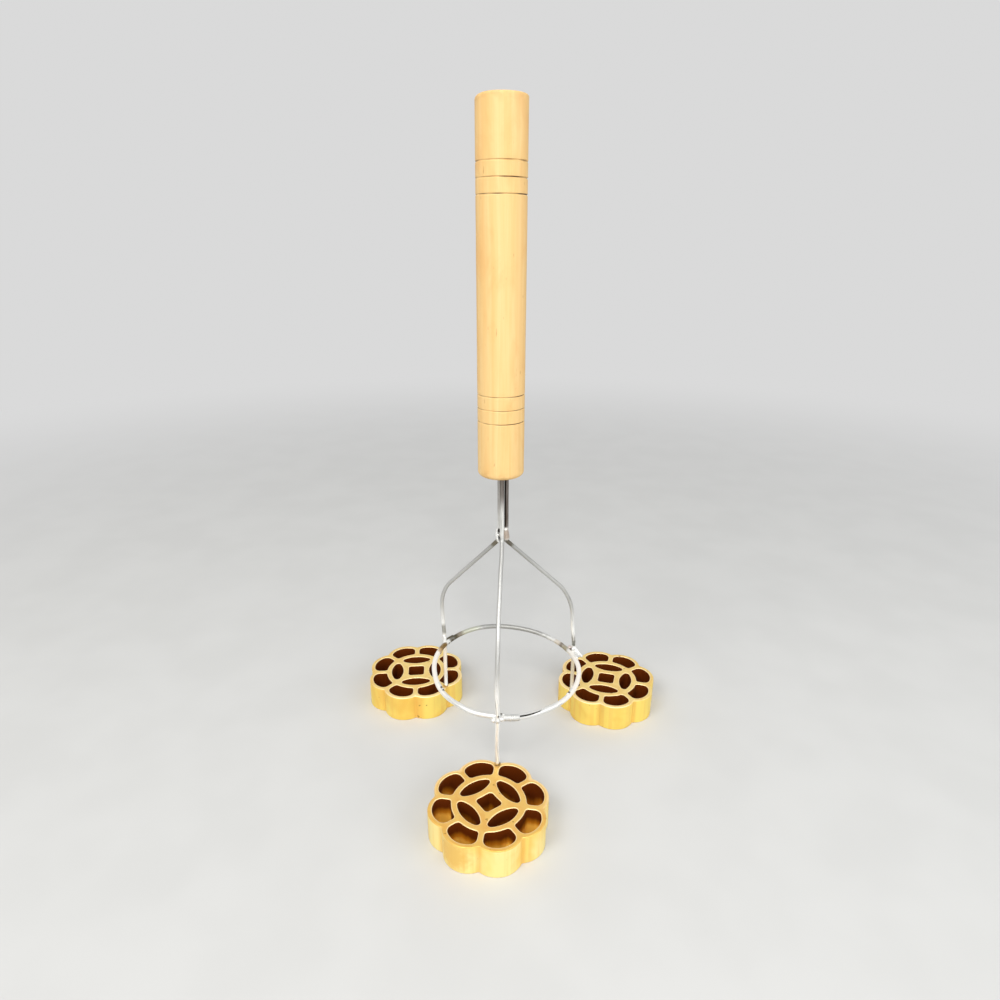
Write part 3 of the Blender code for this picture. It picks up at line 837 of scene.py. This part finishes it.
def make_hoop(materials):
    """The hoop of thicker wire, its ends cut to wedges and laid one over the other."""
    turn = hoop_frame().to_3x3()
    work = bmesh.new()

    def strand(stations, size, index):
        points = []
        for angle, _, _ in stations:
            loose = smooth(0, 0.6, abs((angle - hoop_angle("front") + pi) % (2 * pi) - pi))
            out = 0.12 * MM * wave((angle * 2, 0, 0), 1, 71) * loose
            up = 0.15 * MM * wave((angle * 2, 5, 0), 1, 72) * loose
            points.append(hoop_point(angle, out, up))

        def cut(number):
            angle, low, high = stations[number]
            inward = ahead(angle) * -cos(JOINT_LEAN)
            return turn @ (inward + Vector((0, 0, sin(JOINT_LEAN)))), low, high

        sweep(work, points, size, HOOP_SIDES, cut, index)

    size = lambda share: HOOP_WIRE_RADIUS * (1 + 0.015 * wave((share * 30, 3, 0), 1, 6))
    strand(hoop_run(), size, 0)
    # A dark strip fills the slit between the ends: painted shade, and scale
    slit = []
    for i in range(SLIT_STEPS):
        at = SLIT_START + SLIT_RUN * i / (SLIT_STEPS - 1)
        low, high = level(LOWER_END, at) - SLIT_LAP, level(UPPER_END, at) + SLIT_LAP
        slit.append((past("front", at * MM), low * MM, high * MM))
    strand(slit, lambda share: 1.12 * MM, 1)
    add_piece("wire_hoop", mesh_of(work, "hoop"), "hoop", materials)


def lumps(name, eggs, node, materials, seed, grain=0.12 * MM, voxel=0.16 * MM):
    """Drops of metal run together: eggs of (middle, half sizes, turn), fused and roughened."""
    work = bmesh.new()
    for middle, sizes, turn in eggs:
        made = bmesh.ops.create_icosphere(work, subdivisions=3, radius=1)
        place = Matrix.Translation(middle) @ turn.to_4x4() @ Matrix.Diagonal((*sizes, 1))
        bmesh.ops.transform(work, matrix=place, verts=made["verts"])
    holder = add(name + "_rough", mesh_of(work, name))
    fuse = holder.modifiers.new("Fuse", "REMESH")
    fuse.mode = "VOXEL"
    fuse.voxel_size = voxel
    relax = holder.modifiers.new("Relax", "SMOOTH")
    relax.iterations = 7
    graph = bpy.context.evaluated_depsgraph_get()
    mesh = bpy.data.meshes.new_from_object(holder.evaluated_get(graph))
    bpy.data.objects.remove(holder)
    mesh.name = name
    normals = [v.normal.copy() for v in mesh.vertices]
    for vert, normal in zip(mesh.vertices, normals):
        push = wave(vert.co, 0.9 * MM, seed) * 0.7 + wave(vert.co, 0.4 * MM, seed + 3) * 0.3
        vert.co += normal * push * grain
    add_piece(name, mesh, node, materials)


def toward(angle):
    """A turn that points X along an angle in plan."""
    return Matrix.Rotation(angle, 3, "Z")


def run(first, last, count):
    """A run of metal from one lump to another."""
    ends = tuple(zip(first, last))
    return tuple(tuple(a + (b - a) * i / (count - 1) for a, b in ends) for i in range(count))


# The lumps of each weld at the hoop, in millimetres: how far out, anticlockwise and up from the
# leg's middle, and the half sizes
HOOP_EGGS = {
    "front": (
        (0.0, 0.0, -0.2, 1.55, 1.6, 2.2), (-1.5, 0.2, 0.2, 1.6, 2.0, 1.5),
        (-0.9, -2.3, -1.1, 1.5, 1.6, 1.25), (-1.6, -1.3, -0.5, 1.5, 1.8, 1.4),
        (-1.6, 2.0, -0.2, 1.5, 1.7, 1.5), (-2.9, 2.8, 1.7, 0.8, 0.9, 0.75),
        (-3.3, 1.6, 1.5, 0.7, 0.7, 0.7),
    ),
    "left": run((0.0, 0.4, 3.2, 1.4, 1.4, 1.6), (-0.2, 0.4, -2.4, 1.5, 1.5, 1.4), 5)
    + run((-1.0, 0.8, 1.9, 1.1, 1.2, 1.2), (-2.6, 3.6, 0.7, 1.2, 1.4, 1.0), 4) + (
        (-1.5, -0.4, 0.4, 1.4, 1.5, 1.5), (-2.3, 1.0, -2.3, 0.75, 0.9, 0.65),
    ) + run((-1.8, -2.0, 0.2, 1.3, 1.5, 1.4), (-2.5, -5.0, 0.9, 0.9, 1.3, 0.9), 4),
    "right": run((0.0, 0.0, 3.3, 1.3, 1.35, 1.5), (0.0, 0.0, -1.2, 1.5, 1.6, 1.4), 4) + (
        (-1.0, -0.9, 2.1, 0.95, 0.95, 1.3), (-1.8, 1.7, 2.2, 1.1, 1.3, 1.0),
        (-1.4, 0.2, 0.2, 1.6, 2.0, 1.5),
    ) + run((0.3, -0.6, 1.9, 1.4, 1.5, 1.7), (3.2, -4.3, -1.8, 1.0, 1.3, 0.9), 7)
    + run((-0.2, -2.4, -0.7, 1.8, 2.0, 1.5), (-2.0, -6.3, -0.2, 1.2, 1.7, 1.2), 5)
    + run((2.2, -3.6, -1.4, 1.2, 1.4, 0.9), (-0.8, -4.6, -0.9, 1.5, 1.7, 1.2), 4),
}


def beside(name, out, side, up):
    """A place beside a leg at the hoop's height: outward, anticlockwise and up, in millimetres."""
    place = leg_place(name)
    place.z = hoop_point(past(name, side * MM)).z
    return place + toward(hoop_angle(name)) @ Vector((out, side, up)) * MM


def make_hoop_weld(name, materials):
    """The weld that joins a leg and the hoop."""
    turn = toward(hoop_angle(name))
    eggs = [(beside(name, *egg[:3]), [v * MM for v in egg[3:]], turn) for egg in HOOP_EGGS[name]]
    seed = order(name) * 11 + 5
    lumps("bead_" + name, eggs, "hoop_weld_" + name, materials, seed)


# The drops of the seam weld: their count, and the first one's place and the step past the front leg
SEAM_DROPS, SEAM_START, SEAM_STEP = 9, 2.2, 1.18


def make_seam_weld(materials):
    """The bead along the joint of the hoop's ends, blunt where it stops short of the slit."""
    eggs = []
    for i in range(SEAM_DROPS):
        angle = past("front", (SEAM_START + i * SEAM_STEP) * MM)
        swell = 1 + 0.06 * wave((i * 0.9, 0, 0), 1, 33)
        half = 1.5 if i < SEAM_DROPS - 1 else 0.75
        at = hoop_point(angle, 0.2 * MM, -0.15 * MM)
        eggs.append((at, (1.78 * MM * swell, half * MM, 1.98 * MM * swell), toward(angle)))
    lumps("bead_seam", eggs, "hoop_seam_weld", materials, 44, 0.10 * MM)


def spot_place(angle, way, at, across=0.95):
    """A place along a spot weld, in millimetres from its middle, on the hoop's inner upper side."""
    turn = angle + way * at * MM / hoop_circle()[1]
    return hoop_point(turn, -across * MM * cos(JOINT_LEAN), across * MM * sin(JOINT_LEAN))


def make_spot_weld(name, angle, way, materials):
    """A short bead on the inner upper side of the hoop, with a sunk end."""
    turn, size = toward(angle), (0.95 * MM, 1.2 * MM, 0.95 * MM)
    eggs = [(spot_place(angle, way, at), size, turn) for at in (-2.6, -1.5, -0.4, 0.7)]
    eggs.append((spot_place(angle, way, 3.1, 1.15), (0.85 * MM, 0.95 * MM, 0.85 * MM), turn))
    seed = 50 if name == "left" else 57
    node = "spot_weld_" + name
    lumps("bead_spot_" + name, eggs, node, materials, seed, 0.06 * MM, 0.13 * MM)


# The lumps of the weld in the fork, in millimetres: right, back and up from its middle, and the
# half sizes
TANG_EGGS = run((2.9, -0.6, 4.5, 1.4, 1.4, 1.3), (3.3, -0.7, -0.4, 1.85, 1.6, 1.6), 7) + run(
    (-2.05, -1.0, 4.4, 0.6, 0.75, 1.0), (-2.3, -1.2, 1.4, 0.75, 0.85, 1.0), 4) + run(
    (-2.3, -1.2, 1.0, 0.75, 0.85, 1.0), (-1.3, -1.4, -2.3, 0.75, 0.8, 0.8), 5) + (
    (-1.3, -1.3, 1.5, 0.75, 0.6, 0.5), (0.4, 1.0, 0.6, 2.6, 1.7, 3.6))


def make_tang_weld(materials):
    """The lump where the legs part: a large drop on the right, a thin strand on the left."""
    middle = AXIS + Vector((0, 0, 1)) * CROTCH_Z
    eggs = []
    for x, y, z, *sizes in TANG_EGGS:
        place = middle + Vector((x, y, z)) * MM
        eggs.append((place, [v * MM for v in sizes], Matrix.Identity(3)))
    lumps("bead_tang", eggs, "tang_weld", materials, 17, 0.06 * MM)


def make_braze(name, materials):
    """The brazing round a leg's foot: one flat drop, and a smaller one on each side."""
    foot = leg_place(name) + Vector((0, 0, RIM_Z))
    out = ahead(LEGS[name][2])
    side = Vector((-out.y, out.x, 0))
    rows = (
        (out * 0.2, 0.5, (1.75, 1.75, 0.95)),
        (side * 0.7, 0.7, (0.95, 0.95, 1.0)),
        (side * -0.8, 0.4, (0.9, 1.0, 0.85)),
    )
    eggs = []
    for shift, up, sizes in rows:
        place = foot + shift * MM + Vector((0, 0, up)) * MM
        eggs.append((place, [v * MM for v in sizes], Matrix.Identity(3)))
    piece, node, seed = "braze_lump_" + name, "braze_" + name, order(name) * 5 + 81
    lumps(piece, eggs, node, materials, seed, 0.16 * MM, 0.12 * MM)


# The handle's worn ends, its foot, the bore that takes the wires and its grooves
TOP_ROUND = 1.1 * MM
END_ROUND = 2.8 * MM
FOOT_DROP = 1.0 * MM
BORE_LEAN = 1.3 * MM
GROOVE_WIDTH = 1.0 * MM
GROOVE_DEPTH = 0.45 * MM
BORE = BUNDLE_OFFSET + LEG_RADIUS + 0.75 * MM


def groove_rows():
    """The heights of the six grooves, from the top down."""
    rows = [HANDLE_TOP - TOP_GROOVE_INSET - GROOVE_PITCH * i for i in range(3)]
    return rows + [HANDLE_Z + BOTTOM_GROOVE_INSET + GROOVE_PITCH * i for i in reversed(range(3))]


def handle_heights():
    """Where the handle's skin has its rings: close together in the grooves, wide between them."""
    low, high = HANDLE_Z - FOOT_DROP + END_ROUND, HANDLE_TOP - TOP_ROUND
    heights = {round(low + (high - low) * i / 90, 6) for i in range(91)}
    rows = groove_rows()
    heights = {z for z in heights if all(abs(z - row) > GROOVE_WIDTH for row in rows)}
    for row in rows:
        heights |= {round(row + GROOVE_WIDTH * (i / 8), 6) for i in range(-8, 9)}
    return sorted(heights, reverse=True)


def groove_cut(a, z, rows):
    """How deep the grooves cut at a place of the handle's skin, and how dark it is burnt."""
    depth = burnt = 0.0
    for number, row in enumerate(rows):
        facing = 0.5 + 0.3 * cos(a + 0.6)
        deep = facing + 0.6 * wave((cos(a) * 1.4, sin(a) * 1.4, number * 2.0), 1, 90)
        shape = max(0, 1 - ((z - row) / (GROOVE_WIDTH / 2)) ** 2)
        depth += GROOVE_DEPTH * shape * min(max(deep, 0.3), 1)
        char = (0.40 + 0.36 * cos(a + 0.6)) * (1.0 if number < 3 else 0.7)
        char += 0.8 * wave((cos(a) * 2.4, sin(a) * 2.4, number * 3.0), 1, 95)
        spread = 1 - smooth(0.06 * MM, 0.40 * MM, abs(z - row - 0.14 * MM))
        burnt = max(burnt, spread * min(max(char, 0.06), 1))
    return depth, burnt


def make_handle(material):
    """The turned handle: worn ends, grooves of uneven depth, and the bore that takes the wires."""
    rows = groove_rows()
    foot = HANDLE_Z - FOOT_DROP
    turns = [pi / 2 * i / 8 for i in range(9)]
    profile = [("top", 0.0, 0.0), ("top", 0.35, 0.0), ("top", 0.7, 0.0)]
    profile += [("top", None, a) for a in turns]
    profile += [("skin", None, z) for z in handle_heights()[1:-1]]
    profile += [("foot", None, a) for a in reversed(turns)]
    profile += [("foot", 0.6, 0.0), ("foot", 0.0, 0.0), ("bore", 1.0, 0.0), ("bore", 0.05, 0.0)]
    work = bmesh.new()
    burn, grime = value_layers(work, "burn", "grime")
    rings = []
    for kind, share, value in profile:
        ring = []
        for k in range(HANDLE_SIDES):
            a = 2 * pi * k / HANDLE_SIDES
            round_end = TOP_ROUND + 1.2 * MM * smooth(0.1, 1.0, -cos(a + 0.2))
            lean = burnt = dirt = 0.0
            if kind == "top":
                flat, z = HANDLE_RADIUS - round_end, HANDLE_TOP
                if share is None:
                    radius = flat + round_end * sin(value)
                    z -= round_end * (1 - cos(value))
                else:
                    radius = flat * share
                dirt = smooth(0.75, 1.0, radius / HANDLE_RADIUS)
            elif kind == "skin":
                z = min(value, HANDLE_TOP - round_end)
                depth, burnt = groove_cut(a, z, rows)
                dirt = max(smooth(9 * MM, 0, z - HANDLE_Z), smooth(7 * MM, 0, HANDLE_TOP - z)) * 0.8
                loose = wave((cos(a) * 2, sin(a) * 2, z / (12 * MM)), 1, 98)
                radius = HANDLE_RADIUS - depth + 0.05 * MM * (loose - 0.8)
            elif kind == "foot":
                flat, z, dirt = HANDLE_RADIUS - END_ROUND, foot, 1.0
                if share is None:
                    radius = flat + END_ROUND * sin(value)
                    z += END_ROUND * (1 - cos(value))
                else:
                    radius, lean = BORE + (flat - BORE) * share, BORE_LEAN * (1 - share)
            else:
                radius, z, lean, burnt = BORE * share, HANDLE_Z + TANG_SEAT, BORE_LEAN, 0.8
            vert = work.verts.new(AXIS + Vector((cos(a) * radius + lean, sin(a) * radius, z)))
            vert[burn], vert[grime] = burnt, dirt
            ring.append(vert)
        rings.append(ring)
    cover(work, rings)
    work.faces.new(rings[-1])
    bmesh.ops.remove_doubles(work, verts=work.verts, dist=0.002 * MM)
    add_piece("grip", mesh_of(work, "grip"), "handle", [material])


# The studio

BACKDROP = (0.70, 0.70, 0.70)
SKY = (0.98, 0.99, 1.0)
SKY_STRENGTH = 0.62
# Each lamp's name, place, aim, size, power and colour
LAMPS = (
    ("key", (-0.9, -1.1, 1.5), (0, 0, 0.15), 0.9, 19, (1.0, 0.98, 0.95)),
    ("front", (0.02, -1.08, 1.38), (0, -0.08, 0.02), 0.45, 12, (1.0, 0.99, 0.97)),
    ("fill", (1.2, -0.7, 0.8), (0, 0, 0.15), 0.9, 9, (0.96, 0.98, 1.0)),
    ("low", (0.1, -1.15, 0.3), (0, -0.05, 0.05), 0.7, 3, (1.0, 1.0, 1.0)),
)


def make_floor():
    """A plain pale floor that fades into the backdrop far from the object."""
    work = bmesh.new()
    bmesh.ops.create_circle(work, cap_ends=True, segments=96, radius=12)
    mesh = mesh_of(work, "floor")
    floor = add("floor", mesh)
    p = Paint("Pale floor")
    far = p.node("VectorMath", {0: p.coords}, operation="LENGTH").outputs["Value"]
    fade = p.math("MULTIPLY", p.ramp(far, 0.35, 1.3), p.seen())
    colour = p.over((0.52, 0.52, 0.51), (0.54, 0.54, 0.53), p.noise(18, 2), 0.3, 0.7)
    p.finish(colour, 0.8, specular=0.2)
    glow = p.node("Emission", {"Color": BACKDROP, "Strength": 1.0}).outputs[0]
    blend = p.node("MixShader", {0: fade, 1: p.shader.outputs[0], 2: glow}).outputs[0]
    p.link(blend, p.tree.nodes["Material Output"].inputs["Surface"])
    mesh.materials.append(p.material)


def make_world():
    """Even light from all sides, and a pale backdrop behind the object."""
    world = bpy.data.worlds.new("Studio")
    bpy.context.scene.world = world
    p = Nodes(world)
    p.tree.nodes.clear()
    light = p.node("Background", {0: SKY, 1: SKY_STRENGTH}).outputs[0]
    shown = p.node("Background", {0: BACKDROP}).outputs[0]
    both = p.node("MixShader", {0: p.seen(), 1: light, 2: shown}).outputs[0]
    p.link(both, p.node("OutputWorld").inputs[0])


def make_lamp(name, at, aim, size, power, colour):
    """A soft square lamp."""
    data = bpy.data.lights.new(name, "AREA")
    data.size, data.energy, data.color = size, power, colour
    lamp = add(name, data)
    lamp.location = at
    lamp.rotation_euler = (Vector(aim) - Vector(at)).to_track_quat("-Z", "Y").to_euler()


def make_camera():
    """The camera where the photographer's stood."""
    data = bpy.data.cameras.new("camera")
    data.sensor_width, data.lens = CAMERA_SENSOR, CAMERA_LENS
    data.clip_start, data.clip_end = 0.01, 60
    camera = add("camera", data)
    camera.location = CAMERA_AT
    camera.rotation_euler = [radians(a) for a in CAMERA_TURN]
    bpy.context.scene.camera = camera


BLACK, GREY, OLIVE = (0.022, 0.014, 0.008), (0.24, 0.24, 0.21), (0.060, 0.048, 0.021)
WARM = (0.94, 0.88, 0.80)
# Heat tint and dark marks, in millimetres. Round the fork, each row says how far right, back and up
# of its middle it lies, how far it reaches, its colour and its strength.
FORK_CREVICES = (
    (-0.9, -0.6, 3.8, 1.25, BLACK, 0.98), (-0.45, -1.3, -0.6, 1.15, BLACK, 0.98),
    (-1.35, -0.7, 1.6, 0.6, BLACK, 0.9),
)
FORK_TINTS = {
    "leg_front": FORK_CREVICES,
    "leg_left": FORK_CREVICES + ((-4.2, 1, -4.2, 2.9, (0.11, 0.088, 0.048), 0.85),),
    "leg_right": ((5.2, 1, -4.2, 3.0, (0.09, 0.075, 0.048), 0.88),),
    "weld_tang": (
        (3.3, -1.6, 1.8, 3.1, (0.365, 0.30, 0.245), 1.0), (3.4, -1.6, -2.3, 0.8, BLACK, 0.9),
    ) + FORK_CREVICES,
}
# Beside a leg at the hoop, it says how far out, anticlockwise and up
JOINT_TINTS = {
    "leg_front": ((1.0, 0.6, 3.0, 0.6, BLACK, 0.9),),
    "leg_left": (
        (0, 0, -13, 14, (0.92, 0.80, 0.64), 0.8), (0, 0, 8.5, 3.6, GREY, 0.85),
        (0.3, -0.9, 4.5, 1.0, BLACK, 0.92),
    ),
    "leg_right": (
        (0, 0, -13, 14, (0.66, 0.54, 0.34), 0.75),
        (-0.5, -1.1, 5.4, 1.15, (0.03, 0.035, 0.03), 0.92),
        (-0.4, -1.0, 7.3, 1.1, (0.05, 0.055, 0.048), 0.85), (0, 0, 8, 3.8, GREY, 0.6),
    ),
    "weld_front": ((-3.3, 1.7, 2.0, 0.65, BLACK, 0.9), (0.2, 1.2, 1.9, 0.55, BLACK, 0.85)),
    "weld_left": (
        (-2.6, -0.3, 1.0, 1.5, OLIVE, 0.9), (-2.6, 0.0, 0.2, 0.8, BLACK, 0.95),
        (-2.2, -3.6, 0.6, 3.1, OLIVE, 0.96), (0.3, -0.9, 4.3, 0.9, BLACK, 0.92),
        (-1.8, -0.9, -1.0, 0.95, BLACK, 0.9),
    ),
    "weld_right": (
        (-1.8, 1.7, 2.4, 1.3, (0.52, 0.40, 0.37), 0.8),
        (-1.8, 0.4, 1.4, 0.95, (0.08, 0.05, 0.03), 0.9),
        (-2.0, -0.2, 0.7, 0.9, (0.12, 0.09, 0.06), 0.9),
        (-1.9, -0.9, 0.1, 0.8, (0.16, 0.14, 0.11), 0.8),
        (0.2, -1.3, 2.2, 0.7, (0.12, 0.10, 0.10), 0.85),
    ),
}
# On the hoop, it says how far past which leg, or at how many degrees, and how far out and up
HOOP_TINTS = (
    ("", 88, 0, 0, 26, (0.26, 0.26, 0.245), 0.9), ("", 188, 0, 0, 24, WARM, 0.9),
    ("", -6, 0, 0, 24, WARM, 0.9), ("left", -17.0, 0, 0, 8.0, (0.45, 0.46, 0.36), 0.85),
    ("left", -9.6, 0, 0, 3.4, (0.22, 0.185, 0.14), 0.92), ("left", -5.4, 0, 0, 3.0, OLIVE, 0.95),
    ("left", -2.2, 0, 0, 2.4, OLIVE, 0.95), ("left", 1.6, -1.2, -0.2, 0.9, BLACK, 0.95),
    ("left", 5.6, -0.6, 0, 2.4, (0.16, 0.085, 0.012), 0.95),
    ("left", 8.8, -0.8, 0, 3.0, (0.19, 0.10, 0.010), 0.95),
    ("left", 12.4, -0.8, 0, 2.2, (0.48, 0.30, 0.11), 0.85),
    ("right", 8.0, 0, 0, 2.1, (0.10, 0.055, 0.018), 0.9),
    ("right", 11.5, 0, 0, 2.5, (0.55, 0.46, 0.34), 0.6),
    # The row 4 mm past the right leg, on the hoop's inner side, is painted shade
    ("right", 4.0, -0.6, 0, 2.6, (0.28, 0.24, 0.14), 0.85),
)


def at_fork(x, y, z):
    """A place beside the fork's middle, in millimetres."""
    return AXIS + Vector((x * MM, y * MM, CROTCH_Z + z * MM))


def on_hoop(name, distance, out, up):
    """A place on the hoop's wire, past a leg in millimetres, or else at an angle in degrees."""
    angle = past(name, distance * MM) if name else radians(distance)
    return hoop_point(angle, out * MM, up * MM)


def tints(place, rows):
    """Heat tints for a material, from rows of a place, a reach, a colour and a strength."""
    return [(tuple(place(*row[:-3])), row[-3] * MM, *row[-2:]) for row in rows]


def heat_spots():
    """Where the wires and the welds are tinted by heat and darkened in their crevices, with a
    painted shade on the hoop.
    """
    spots = {piece: tints(at_fork, rows) for piece, rows in FORK_TINTS.items()}
    for piece, rows in JOINT_TINTS.items():
        leg = piece.split("_")[1]
        spots[piece] = spots.get(piece, []) + tints(lambda *at: beside(leg, *at), rows)
    spots["hoop"] = tints(on_hoop, HOOP_TINTS)
    for name, angle, way, count in SPOT_WELDS:
        rows = [(*mark, 1.05, BLACK, 0.96) for mark in SPOT_MARKS[:count]]
        spots["spot_" + name] = tints(lambda *at: spot_place(angle, way, *at), rows)
        spots["hoop"] += spots["spot_" + name]
    return spots


def main():
    """Dresses every node, lights the studio and places the camera."""
    bpy.context.scene.view_settings.view_transform = "Standard"
    cell = brass_cell_material()
    # The front casting's rim and wall: the brass painted paler, as painted light from the front
    rim = brass_rim_material("Brass rim front painted light", (0.80, 0.50, 0.12), (0.75, 0.41, 0.085))
    # A painted shade on the near left of the front casting's wall
    wall_shade_spot = mould_place("front") + Vector((-17, -27.5, 10)) * MM
    wall_shade_spots = [(tuple(wall_shade_spot), 9 * MM, (0.80, 0.49, 0.105), 0.85)]
    pale, deep = (0.92, 0.765, 0.31), (0.88, 0.62, 0.155)
    brass = {"front": [rim, brass_wall_material("Brass wall front painted light", pale, deep, wall_shade_spots), cell]}
    # The side castings' rim and wall: the same brass painted deeper, as painted shade
    rim = brass_rim_material("Brass rim side painted shade", (0.86, 0.64, 0.23), (0.80, 0.54, 0.17))
    pale, deep = (0.89, 0.675, 0.155), (0.81, 0.51, 0.095)
    brass["side"] = [rim, brass_wall_material("Brass wall side painted shade", pale, deep), cell]
    spots = heat_spots()
    white, tan = (0.68, 0.675, 0.65), (0.34, 0.29, 0.22)
    dull_brass, brown = (0.50, 0.31, 0.09), (0.20, 0.12, 0.035)
    braze = weld_material("Brazing", dull_brass, brown, 0.44, pitted=0.9)
    make_handle(wood_material())
    for name in LEGS:
        make_mould(name, brass.get(name, brass["side"]))
        dull = 1.0 if name == "right" else 0.6
        wire = wire_material("Leg wire " + name, spots["leg_" + name], BUNDLE_SMOKE[name], dull)
        make_leg(name, wire)
        weld = weld_material("Weld " + name, white, tan, 0.62, spots["weld_" + name])
        make_hoop_weld(name, [weld])
        make_braze(name, [braze])
    make_hoop([wire_material("Hoop wire", spots["hoop"]), slit_shade_material()])
    make_seam_weld([weld_material("Weld seam", (0.52, 0.52, 0.50), tan, 0.66)])
    for name, angle, way, _ in SPOT_WELDS:
        weld = weld_material("Weld spot " + name, white, tan, 0.70, spots["spot_" + name])
        make_spot_weld(name, angle, way, [weld])
    make_tang_weld([weld_material("Weld tang", white, tan, 0.66, spots["weld_tang"], 0.25)])
    make_floor()
    make_world()
    for lamp in LAMPS:
        make_lamp(*lamp)
    make_camera()


main()
